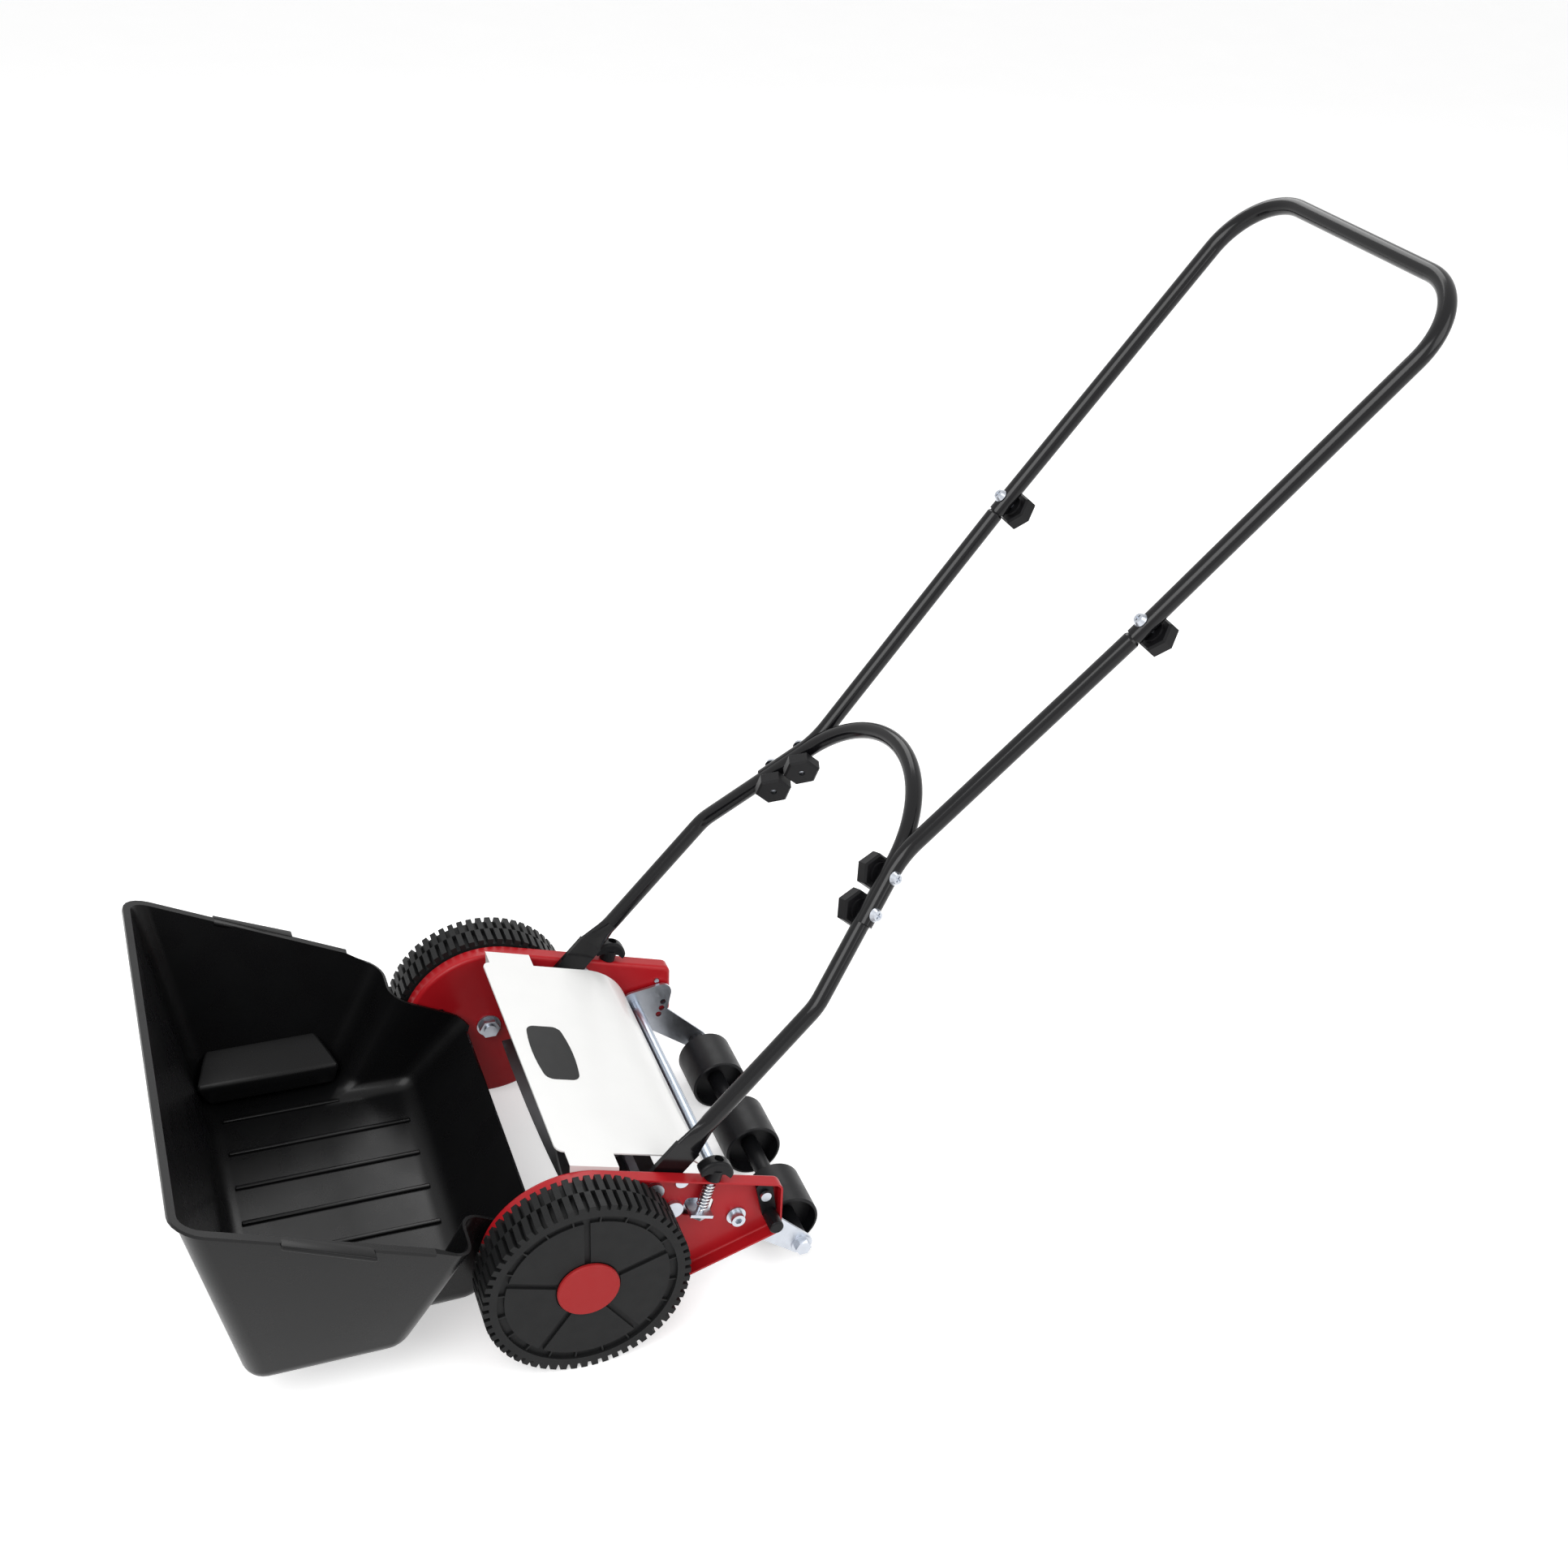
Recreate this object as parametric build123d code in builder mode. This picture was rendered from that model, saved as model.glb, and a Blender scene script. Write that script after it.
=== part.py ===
"""Push reel mower: two side plates, geared wheels, a helical reel, a rear roller,
a three-piece tube handle and a lift-off grass catcher.

Sizes are in millimetres. +X is the operator's left, +Y the rear, +Z up.
The origin lies on the ground, below the middle of the mower's box.
"""
import os
from math import acos, atan2, cos, degrees, pi, radians, sin, tan

from build123d import *

os.makedirs("parts", exist_ok=True)

# Clearances
run_fit = 0.08        # round running fits, on the radius
seat_gap = 0.3        # between seated pieces of different bodies
bolt_slack = 0.1      # bolt in its hole, on the radius

# Side plates: pressed pans, flanged outwards all round
reel_side = 11.0      # between the reel's ends and the plates
plate_thick = 1.6
flange_width = 12.0   # from the inner face to the flange's outer edge
plate_radius = 70.0   # round front, about the wheel axle
plate_rear = 158.0    # rear edge, behind the axle
top_slope = 17.0      # degrees
bottom_slope = 18.5   # degrees
plate_corner = 7.0
bend_radius = 3.2

# Wheels
wheel_radius = 76.0
wheel_width = 33.0
wheel_gap = 2.0       # flange edge to wheel
lug_count = 60
lug_height = 4.5
lug_width = 4.6
rim_thick = 5.5
web_thick = 5.0
panel_height = 3.0
panel_count = 5
panel_groove = 4.5
panel_edge = 60.5     # outer radius of the face panels
rib_count = 20
hub_radius = 12.0
axle_radius = 6.0
cap_radius = 22.8
cap_thick = 2.8

# Ring gear in the wheel and pinion on the reel
gear_module = 2.0
pressure_angle = 20.0
ring_teeth = 58
pinion_teeth = 12
gear_backlash = 0.15
gear_width = 14.0
ring_wall = 5.6
reel_bearing_angle = -10.0   # direction from the axle to the reel shaft, degrees

# Reel
cut_width = 250.0
reel_radius = 37.0
blade_count = 5
blade_height = 12.0
blade_thick = 2.4
blade_twist = 60.0    # degrees from one end to the other
spider_thick = 4.0
spider_arm = 11.0
shaft_radius = 6.0
bearing_radius = 11.0
bearing_flange = 15.0

# Bed knife and its adjusters
knife_thick = 3.0
knife_depth = 36.0
knife_angle = 20.0    # contact line, behind the lowest point of the reel
knife_gap = 0.35      # between the reel and the knife at rest
carrier_thick = 2.5
carrier_bar_depth = 20.0
carrier_bar_thick = 5.0
carrier_pivot = (76.0, 92.0)
pivot_radius = 4.0
adjuster_along = 87.3  # from the start of the plate's straight top edge
adjuster_radius = 3.0
ear_depth = 30.0      # below the flange's top
ear_width = 18.0
wing_span = 13.5      # half length of a wing knob
wing_top = 18.0       # above the flange
wing_tip = 4.5        # room under the wings
wing_hub = 6.5
spring_wire = 1.2
spring_turns = 7.25
spring_radius = 4.0   # to the middle of the wire

# Rear roller
tie_at = (125.0, 71.5)      # behind the axle, above the ground
tie_radius = 4.6
roller_at = (180.7, 23.0)
drum_length = 44.0
drum_pitch = 87.0
drum_wall = 2.2
drum_recess = 12.0
roller_axle_radius = 4.0
arm_thick = 2.5
arm_boss = 14.0
arm_tip = 9.0
index_radius = 25.0
index_step = 15.0     # degrees between height holes
index_count = 3
index_first = -2.0    # degrees, hole in use
pin_radius = 2.5
lever_thick = 5.0
lever_screw_at = (145.5, 91.0)
lever_top = 100.5     # above the ground
lever_edge = 1.5      # rounded inner edge, on which the lever rocks
lever_round = 5.5
lever_corner = 3.0
lever_stub = 24.0     # stub's end, outside the plate's inner face
lever_swing = 6.0     # degrees, room left below the screw head

# Handle: all tubes lie in one sloping plane
handle_angle = 47.8   # degrees
handle_rise = 30.5    # distance of that plane from the ground point below the axle
tube_radius = 6.5
tube_wall = 1.2
leg_inset = 4.4       # middle line of each lower leg, inside the plate
knee_at = 306.4       # along the slope
knee_radius = 35.0
leg_lean = 22.5       # degrees, towards each other above the knee
arch_radius = 94.5
flat_thick = 4.0
flat_width = 22.0
flat_from = 190.0     # round above here
flat_to = 165.0       # flat below here
pivot_at = 125.0      # along the slope
stop_at = 141.0
stop_radius = 3.0
nest = 2.9            # middle tube's wall pressed over the lower leg
joint_inset = 17.7    # upper joints, inside the lower legs
joint_at = 659.6      # along the slope
middle_lean = 6.4     # degrees
middle_bend = 60.0
upper_lean = 4.6      # degrees
bar_at = 961.4
bar_bend = 52.0
swage_length = 45.0
shoulder = 1.6        # taper below the neck that enters the upper tube
joint_overlap = 14.0  # upper tube below its bolt
bolt_radius = 2.5
bolt_head = 5.2
bolt_head_height = 3.4
cross_length = 4.6     # driver recess in the bolt heads
cross_width = 1.1
cross_depth = 1.6
clamp_bolts = (76.5, 106.6)   # from the knee, along the leg
clamp_end = 67.0
knob_across = 25.0
knob_thick = 11.0
knob_neck = 2.5

# Cover
cover_thick = 1.2
cover_inset = 16.0    # inside each plate
cover_front = -6.0
cover_lift = 1.5      # above the plates' top edges
cover_run = 80.0      # where the rear curve starts
cover_bend = 50.0
cover_drop = 80.0     # degrees below level at the rear edge
cover_skirt = 9.0
cover_corner = 7.0
tab_from = 0.0
tab_to = 36.0
tab_depth = 16.0

# Catcher
bin_wall = 2.5
bin_floor = 34.0
bin_front_corner = 15.0
bin_rear_corner = 38.0
bin_floor_corner = 16.0
throat_corner = 14.0
ledge_from = -229.0   # ledge along each side wall
ledge_to = -128.0
ledge_inset = 4.0     # front edge, outside the plates' inner faces
ledge_front = 60.0
ledge_back = 77.0
bin_out_low = 27.0    # side walls at the floor, outside the plates
bin_out_high = 60.6
bin_height = 230.0    # level where the four walls are measured, above the rim
bin_front_low = -236.0
bin_front_high = -272.0
bin_rear_low = -128.0
bin_rear_high = -18.0
mouth_inset = 4.0     # inside each plate
mouth_ramp = -70.0    # floor ends and the ramp starts
mouth_rear = -21.0
mouth_lip = 87.0
rim_points = ((-320.0, 240.2), (-105.0, 141.0), (-26.0, 98.0), (20.0, 68.0))
rim_lip = 4.0
floor_rib_pitch = 41.0
floor_rib_count = 7
rib_height = 3.0
rib_width = 4.0
grip_from = -206.0
grip_to = -146.0
grip_width = 10.0
catcher_pin_at = (-45.0, 90.0)
catcher_pin_radius = 3.0

# Worked out from the sizes above
plate_in = cut_width / 2 + reel_side
plate_out = plate_in + plate_thick
flange_out = plate_in + flange_width
wheel_in = flange_out + wheel_gap
wheel_out = wheel_in + wheel_width
lever_reach = plate_in + lever_stub
leg_half = plate_in - leg_inset
joint_half = leg_half - joint_inset
neck_radius = tube_radius - tube_wall - bolt_slack
cover_half = plate_in - cover_inset
mouth_half = plate_in - mouth_inset
bin_half_low = plate_in + bin_out_low
bin_half_high = plate_in + bin_out_high
axle_at = (0.0, wheel_radius)
slope = radians(handle_angle)
handle_reach = bar_at * cos(slope) - handle_rise * sin(slope) + tube_radius
front_lean = (bin_front_low - bin_front_high) / (bin_height - bin_floor)
rim_rise = (rim_points[0][1] - rim_points[1][1]) / (rim_points[1][0] - rim_points[0][0])
rim_foot = rim_points[1][1] + rim_rise * rim_points[1][0] - bin_floor
catcher_front = (bin_front_low - front_lean * rim_foot) / (1 - front_lean * rim_rise) - rim_lip
axle_y = -(handle_reach + catcher_front) / 2

side = Plane(origin=(0, axle_y, 0), x_dir=(0, 1, 0), z_dir=(1, 0, 0))
axle_plane = Plane(origin=(0, axle_y, wheel_radius), x_dir=(1, 0, 0), z_dir=(0, -1, 0))
axle_axis = Axis((0, axle_y, wheel_radius), (1, 0, 0))
handle_plane = Plane(
    origin=(0, axle_y - handle_rise * sin(slope), handle_rise * cos(slope)),
    x_dir=(1, 0, 0),
    z_dir=(0, -sin(slope), cos(slope)),
)


def turned(radius, angle, centre=(0.0, 0.0)):
    """Point at a radius and an angle in degrees about a centre."""
    a = radians(angle)
    return (centre[0] + radius * cos(a), centre[1] + radius * sin(a))


def slope_point(along, rise=handle_rise):
    """Side-view point at a distance along the handle's slope."""
    return (along * cos(slope) - rise * sin(slope), along * sin(slope) + rise * cos(slope))


def rod(at, x_from, x_to, radius, mode=Mode.ADD):
    """Round bar along X through a point of the side view."""
    with BuildSketch(side.offset(x_from), mode=Mode.PRIVATE) as section:
        with Locations(at):
            Circle(radius)
    extrude(section.sketch, amount=x_to - x_from, mode=mode)


def hexagon(at, x_from, x_to, across, mode=Mode.ADD):
    """Hexagon nut, head or socket along X, by its width across the flats."""
    with BuildSketch(side.offset(x_from), mode=Mode.PRIVATE) as section:
        with Locations(at):
            RegularPolygon(across / 2, 6, major_radius=False)
    extrude(section.sketch, amount=x_to - x_from, mode=mode)


def involute(base, radius):
    """Involute angle, in radians, at a radius."""
    turn = acos(min(1.0, base / radius))
    return tan(turn) - turn


def toothed(teeth, root, tip, centre, phase, slack):
    """Points of a gear with involute flanks, one tooth centred on the phase angle."""
    pitch = gear_module * teeth / 2
    base = pitch * cos(radians(pressure_angle))
    half = pi / (2 * teeth) + slack / pitch + involute(base, pitch)
    flank = [(r, degrees(half - involute(base, r))) for r in (root, pitch, tip)]
    points = []
    for tooth in range(teeth):
        middle = phase + 360 * tooth / teeth
        points += [turned(r, middle - a, centre) for r, a in flank]
        points += [turned(r, middle + a, centre) for r, a in reversed(flank)]
    return points


# Places that several pieces share
gear_offset = gear_module * (ring_teeth - pinion_teeth) / 2
reel_at = turned(gear_offset, reel_bearing_angle, axle_at)
top_start = turned(plate_radius, 90 - top_slope, axle_at)
bottom_start = turned(plate_radius, bottom_slope - 90, axle_at)
top_tan = tan(radians(top_slope))
top_end = (plate_rear, top_start[1] - (plate_rear - top_start[0]) * top_tan)
bottom_end = (
    plate_rear,
    bottom_start[1] + (plate_rear - bottom_start[0]) * tan(radians(bottom_slope)),
)
adjuster_at = (
    top_start[0] + adjuster_along * cos(radians(top_slope)),
    top_start[1] - adjuster_along * sin(radians(top_slope)),
)
adjuster_x = (plate_out + flange_out) / 2
adjuster = Plane(
    origin=(adjuster_x, axle_y + adjuster_at[0], adjuster_at[1]),
    x_dir=(1, 0, 0),
    z_dir=(0, sin(radians(top_slope)), cos(radians(top_slope))),
)
ear_middle = ear_depth + carrier_thick / 2
ear_at = (
    adjuster_at[0] - ear_middle * sin(radians(top_slope)),
    adjuster_at[1] - ear_middle * cos(radians(top_slope)),
)
handle_pivot_at = slope_point(pivot_at)
stop_pin_at = slope_point(stop_at, handle_rise - flat_width / 2 - stop_radius - seat_gap / 2)
index_pin_at = turned(index_radius, index_first, tie_at)
cover_line = [
    (y, top_start[1] - (y - top_start[0]) * top_tan + cover_lift)
    for y in (cover_front, cover_run)
]
tab_screw_at = (
    (tab_from + tab_to) / 2,
    top_start[1] - ((tab_from + tab_to) / 2 - top_start[0]) * top_tan - tab_depth / 2,
)
screw_radius = 2.0
carrier_in = plate_in - 5.5
arm_in = plate_in - 5.0
flat_in = plate_in - seat_gap - flat_thick


def pan(depth_from, inset, bend):
    """Teardrop block from one distance to the flange edge, its inner edge rounded."""
    with BuildPart() as block:
        with BuildSketch(side.offset(depth_from)) as outline:
            with BuildLine():
                front = CenterArc(
                    axle_at, plate_radius, 90 - top_slope, 180 + top_slope + bottom_slope
                )
                Polyline(front @ 0, top_end, bottom_end, front @ 1)
            make_face()
            fillet(outline.vertices().sort_by(Axis.X)[-2:], plate_corner)
            if inset:
                offset(amount=-inset, mode=Mode.REPLACE)
        extrude(amount=flange_out - depth_from)
        fillet(block.faces().sort_by(Axis.X)[0].edges(), bend)
    return block.part


# Side plates
plate_block = pan(plate_in, 0, bend_radius)
plate_hollow = pan(plate_out, plate_thick, bend_radius - plate_thick)
plate_holes = (
    (axle_at, axle_radius - 1 + bolt_slack),
    (reel_at, bearing_radius + bolt_slack),
    (tie_at, 3 + bolt_slack),
    (handle_pivot_at, pivot_radius + bolt_slack),
    (stop_pin_at, stop_radius + bolt_slack),
    (carrier_pivot, pivot_radius + bolt_slack),
    (catcher_pin_at, catcher_pin_radius + bolt_slack),
    (tab_screw_at, screw_radius + bolt_slack),
    (lever_screw_at, screw_radius + bolt_slack),
    (index_pin_at, pin_radius + 2 * seat_gap),
)
with BuildPart() as side_plate_left:
    add(plate_block)
    add(plate_hollow, mode=Mode.SUBTRACT)
    for at, radius in plate_holes:
        rod(at, plate_in - 1, flange_out, radius, Mode.SUBTRACT)
    # Window for the bed knife's ear
    with BuildSketch(side.offset(plate_in - 1)):
        with Locations(Location((*ear_at, 0), (0, 0, -top_slope))):
            RectangleRounded(ear_width + 5, carrier_thick + 14, 4)
    extrude(amount=plate_thick + 2, mode=Mode.SUBTRACT)
    # Hole in the flange for the adjusting bolt
    with Locations(adjuster):
        Cylinder(adjuster_radius + 2 * seat_gap, 4 * plate_thick, mode=Mode.SUBTRACT)

with BuildPart() as side_plate_right:
    mirror(side_plate_left.part, about=Plane.YZ)

# Rear tie rod and its end bolts
with BuildPart() as tie_rod:
    rod(tie_at, -plate_in, plate_in, tie_radius)
    for end in (-plate_in, plate_in):
        inner = end - 25 if end > 0 else end + 25
        rod(tie_at, end, inner, 3 + bolt_slack, Mode.SUBTRACT)

with BuildPart() as tie_rod_bolts:
    rod(tie_at, plate_out, plate_out + 1.5, 7.5)
    rod(tie_at, plate_out + 1.5, plate_out + 7.5, 5.2)
    hexagon(tie_at, plate_out + 4, plate_out + 8, 5, Mode.SUBTRACT)
    rod(tie_at, plate_in - 20, plate_out + 2, 3)
    mirror(about=Plane.YZ)

# Wheel axles: shouldered studs held by a nut inside each plate
wheel_bore_end = wheel_out - panel_height
clip_at = wheel_bore_end + seat_gap
stud_end = clip_at + 2
with BuildPart() as wheel_axles:
    rod(axle_at, plate_out, plate_out + 3.5, 11)
    rod(axle_at, plate_out, stud_end, axle_radius)
    rod(axle_at, plate_in - 9, plate_out, axle_radius - 1)
    rod(axle_at, clip_at, clip_at + 1.2, axle_radius + 1, Mode.SUBTRACT)
    rod(axle_at, clip_at - 0.5, clip_at + 2, axle_radius - 1)
    mirror(about=Plane.YZ)

with BuildPart() as axle_nuts:
    rod(axle_at, plate_in - 1.6, plate_in, 10)
    hexagon(axle_at, plate_in - 7, plate_in - 1.6, 15)
    rod(axle_at, plate_in - 8, plate_in + 1, axle_radius - 1 + bolt_slack, Mode.SUBTRACT)
    mirror(about=Plane.YZ)

with BuildPart() as axle_clips:
    rod(axle_at, clip_at + 0.1, clip_at + 1.1, axle_radius + 3)
    rod(axle_at, clip_at, clip_at + 2, axle_radius - 1 + bolt_slack, Mode.SUBTRACT)
    mirror(about=Plane.YZ)

# Wheels: ribbed disc, ring gear and two staggered rows of lugs in one moulding
rim_radius = wheel_radius - lug_height
rim_inner = rim_radius - rim_thick
web_out = wheel_out - panel_height
web_in = web_out - web_thick
gear_in = web_in - gear_width
ring_pitch = gear_module * ring_teeth / 2
ring_tip = ring_pitch - 0.6 * gear_module
ring_root = ring_pitch + 1.2 * gear_module
ring_outer = ring_root + ring_wall
lug_middle = (rim_inner + wheel_radius) / 2
with BuildPart() as wheel_left:
    with BuildSketch(axle_plane):
        with BuildLine():
            Polyline(
                (plate_out + 4.5, axle_radius + run_fit),
                (plate_out + 4.5, hub_radius),
                (web_in, hub_radius),
                (web_in, ring_tip),
                (gear_in, ring_tip),
                (gear_in, ring_outer),
                (web_in, ring_outer),
                (web_in, rim_inner + 1),
                (web_out, rim_inner + 1),
                (web_out, axle_radius + run_fit),
                close=True,
            )
        make_face()
    revolve(axis=axle_axis)
    with BuildSketch(side.offset(gear_in)):
        with BuildLine():
            cutter = (ring_teeth, ring_tip - 1, ring_root, axle_at, reel_bearing_angle, gear_backlash)
            Polyline(*toothed(*cutter), close=True)
        make_face()
        with Locations(axle_at):
            Circle(ring_tip - 2, mode=Mode.SUBTRACT)
    extrude(amount=gear_width, mode=Mode.SUBTRACT)
    for x_from, turn in ((wheel_in, 0), (wheel_in + wheel_width / 2, 0.5)):
        with BuildSketch(side.offset(x_from)):
            with Locations(axle_at):
                Circle(rim_radius)
                with PolarLocations(lug_middle, lug_count, -90 + turn * 360 / lug_count):
                    Rectangle(wheel_radius - rim_inner, lug_width)
                Circle(rim_inner, mode=Mode.SUBTRACT)
        extrude(amount=wheel_width / 2)
    # Face panels with grooves between them, and ribs across the outer groove
    with BuildSketch(side.offset(web_out)):
        with Locations(axle_at):
            Circle(panel_edge)
            Circle(cap_radius + 1, mode=Mode.SUBTRACT)
            with PolarLocations(panel_edge / 2, panel_count, 90):
                Rectangle(panel_edge, panel_groove, mode=Mode.SUBTRACT)
            with PolarLocations((panel_edge + rim_inner) / 2, rib_count, 9):
                Rectangle(rim_inner - panel_edge + 1, 1.2)
    extrude(amount=panel_height - 1)

with BuildPart() as wheel_right:
    mirror(wheel_left.part, about=Plane.YZ)

with BuildPart() as hub_cap_left:
    with BuildSketch(axle_plane):
        with BuildLine():
            Polyline(
                (web_out, cap_radius - 4),
                (web_out, cap_radius - 2),
                (web_out + panel_height - 1, cap_radius - 2),
                (web_out + panel_height - 1, cap_radius),
                (web_out + panel_height + cap_thick - 2, cap_radius),
                (web_out + panel_height + cap_thick - 1, cap_radius - 1),
                (web_out + panel_height + cap_thick - 1, 0),
                (stud_end + 2 * seat_gap, 0),
                (stud_end + 2 * seat_gap, axle_radius + 4),
                (web_out + panel_height - 1, axle_radius + 4),
                (web_out + panel_height - 1, cap_radius - 4),
                close=True,
            )
        make_face()
    revolve(axis=axle_axis)

with BuildPart() as hub_cap_right:
    mirror(hub_cap_left.part, about=Plane.YZ)

# Pinions on the reel's ends, each with a pocket for its pawl
pinion_pitch = gear_module * pinion_teeth / 2
pinion_from = gear_in + 1
pinion_to = web_in - 1.5
pocket_depth = 6.0
pocket_radius = 7.2
pawl_side = 4.0
pawl_half = pocket_radius - 0.7
pawl_throw = 1.6
pawl_slack = 0.2
with BuildPart() as pinion_left:
    with BuildSketch(side.offset(pinion_from)):
        with BuildLine():
            root = pinion_pitch - 1.2 * gear_module
            tip = pinion_pitch + 0.9 * gear_module
            teeth = (pinion_teeth, root, tip, reel_at, reel_bearing_angle, -gear_backlash)
            Polyline(*toothed(*teeth), close=True)
        make_face()
    extrude(amount=pinion_to - pinion_from)
    rod(reel_at, pinion_from - 1, pinion_to + 1, shaft_radius + run_fit, Mode.SUBTRACT)
    rod(reel_at, pinion_to - pocket_depth, pinion_to + 1, pocket_radius, Mode.SUBTRACT)
    with BuildSketch(side.offset(pinion_to - pocket_depth)):
        with Locations(reel_at):
            with PolarLocations(pocket_radius, 4):
                Rectangle(2 * (pawl_throw + pawl_slack), pawl_side + 2 * pawl_slack)
    extrude(amount=pocket_depth + 1, mode=Mode.SUBTRACT)

with BuildPart() as pinion_right:
    mirror(pinion_left.part, about=Plane.YZ)

# Reel shaft with a cross slot for the pawl at each end
pawl_from = pinion_to - pocket_depth + 0.5
with BuildPart() as reel_shaft:
    rod(reel_at, 0.4 - pinion_to, pinion_to - 0.4, shaft_radius)
    for x_from in (pawl_from, -pawl_from - pawl_side - pawl_slack):
        with BuildSketch(side.offset(x_from)):
            with Locations(reel_at):
                Rectangle(4 * shaft_radius, pawl_side + 2 * bolt_slack)
        extrude(amount=pawl_side + pawl_slack, mode=Mode.SUBTRACT)

# The left pawl drives, the right one is drawn in
with BuildPart() as drive_pawls:
    for x_from, throw in ((pawl_from, pawl_throw), (-pawl_from - pawl_side, 0)):
        with BuildSketch(side.offset(x_from)):
            with Locations((reel_at[0] + throw, reel_at[1])):
                Rectangle(2 * pawl_half, pawl_side)
        extrude(amount=pawl_side)

with BuildPart() as reel_bearings:
    rod(reel_at, plate_in - 2.5, plate_in, bearing_flange)
    rod(reel_at, plate_in - 2.5, plate_out + 4, bearing_radius)
    rod(reel_at, plate_in - 3, plate_out + 5, shaft_radius + run_fit, Mode.SUBTRACT)
    mirror(about=Plane.YZ)

# Reel: helical blades on pressed spiders
blade_inner = reel_radius - blade_height
blade_middle = reel_radius - blade_height / 2
blade_sections = 7
with BuildPart() as reel_blades:
    for blade in range(blade_count):
        for section in range(blade_sections):
            share = section / (blade_sections - 1) - 0.5
            turn = blade * 360 / blade_count + share * blade_twist
            with BuildSketch(side.offset(share * cut_width)):
                with Locations(Location((*turned(blade_middle, turn, reel_at), 0), (0, 0, turn))):
                    Rectangle(blade_height, blade_thick)
        loft()

spider_places = (-0.47, -0.16, 0.16, 0.47)   # shares of the cutting width
with BuildPart() as reel_spiders:
    for share in spider_places:
        with BuildSketch(side.offset(share * cut_width - spider_thick / 2)):
            with Locations(reel_at):
                Circle(shaft_radius + 7)
                arm_reach = blade_inner - 0.2
                with PolarLocations(arm_reach / 2, blade_count, share * blade_twist):
                    Rectangle(arm_reach, spider_arm)
                Circle(shaft_radius + 0.05, mode=Mode.SUBTRACT)
        extrude(amount=spider_thick)

# Bed knife, held on a carrier that pivots between the plates
knife_edge = turned(reel_radius + knife_gap, knife_angle - 90, reel_at)
knife_half = cut_width / 2 + 2
bar_from = knife_edge[0] + knife_depth - carrier_bar_depth
bar_low = knife_edge[1] + 0.05
with BuildPart() as bed_knife:
    with BuildSketch(side.offset(-knife_half)):
        with BuildLine():
            Polyline(
                knife_edge,
                (knife_edge[0] + knife_depth, knife_edge[1]),
                (knife_edge[0] + knife_depth, knife_edge[1] - knife_thick),
                (knife_edge[0] + knife_thick, knife_edge[1] - knife_thick),
                close=True,
            )
        make_face()
    extrude(amount=2 * knife_half)

bar_middle = (bar_from + carrier_bar_depth / 2, bar_low + carrier_bar_thick / 2)
with BuildPart() as bed_knife_carrier:
    with BuildSketch(side.offset(carrier_in)):
        with Locations(carrier_pivot):
            Circle(10)
        with Locations(bar_middle):
            Circle(9)
        with Locations(ear_at):
            Circle(ear_width / 2)
        make_hull()
    extrude(amount=carrier_thick)
    rod(carrier_pivot, carrier_in - 1, carrier_in + 4, pivot_radius + run_fit, Mode.SUBTRACT)
    # Ear bent outwards through the plate's window
    with BuildSketch(adjuster.offset(-ear_depth - carrier_thick)):
        ear_from = carrier_in - adjuster_x
        ear_to = flange_out + 1 - adjuster_x
        with Locations(((ear_from + ear_to) / 2, 0)):
            Rectangle(ear_to - ear_from, ear_width)
        Circle(adjuster_radius + 0.05, mode=Mode.SUBTRACT)
    extrude(amount=carrier_thick)
    mirror(about=Plane.YZ)
    with BuildSketch(side.offset(-carrier_in)):
        with Locations(bar_middle):
            Rectangle(carrier_bar_depth, carrier_bar_thick)
    extrude(amount=2 * carrier_in)

knife_screw_places = (-0.36, 0.0, 0.36)   # shares of the cutting width
with BuildPart() as knife_screws:
    for share in knife_screw_places:
        screw = Plane((share * cut_width, axle_y + bar_middle[0], bar_low + carrier_bar_thick))
        with Locations(screw):
            Cylinder(5, 3, align=(Align.CENTER, Align.CENTER, Align.MIN))

with BuildPart() as bed_knife_pivots:
    rod(carrier_pivot, plate_out, plate_out + 3.5, 7)
    rod(carrier_pivot, carrier_in - 4, plate_out, pivot_radius)
    rod(carrier_pivot, carrier_in + carrier_thick + seat_gap, plate_in, 7)
    rod(carrier_pivot, carrier_in - 4, carrier_in - seat_gap, 7)
    mirror(about=Plane.YZ)

# Adjusting bolts stand on the ears, wing knobs bear on the flanges
bolt_reach = 12.0
with BuildPart() as adjusting_bolts:
    with BuildSketch(adjuster.offset(-ear_depth - carrier_thick)):
        Circle(adjuster_radius)
    extrude(amount=ear_depth + carrier_thick + bolt_reach)
    with BuildSketch(adjuster.offset(-ear_depth - carrier_thick - 3)):
        RegularPolygon(5, 6, major_radius=False)
    extrude(amount=3)
    mirror(about=Plane.YZ)

knob_bore = adjuster_radius + 2 * seat_gap
wing_plane = Plane(
    adjuster.origin,
    x_dir=(0, cos(radians(top_slope)), -sin(radians(top_slope))),
    z_dir=(1, 0, 0),
)
wing_under = wing_tip + 4.0
with BuildPart() as wing_knob_left:
    with BuildSketch(wing_plane):
        with BuildLine():
            ThreePointArc((-wing_span, wing_under), (0, wing_top), (wing_span, wing_under))
            Polyline(
                (wing_span, wing_under),
                (wing_span - 2, wing_tip),
                (wing_hub, wing_tip + 3),
                (-wing_hub, wing_tip + 3),
                (2 - wing_span, wing_tip),
                (-wing_span, wing_under),
            )
        make_face()
    extrude(amount=wing_hub - 1, both=True)
    fillet(wing_knob_left.edges().filter_by(GeomType.CIRCLE), 2.5)
    with BuildSketch(adjuster.offset(seat_gap)):
        Circle(wing_hub)
    extrude(amount=wing_tip + 5)
    with BuildSketch(adjuster):
        Circle(knob_bore)
    extrude(amount=wing_top + 1, mode=Mode.SUBTRACT)

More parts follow.
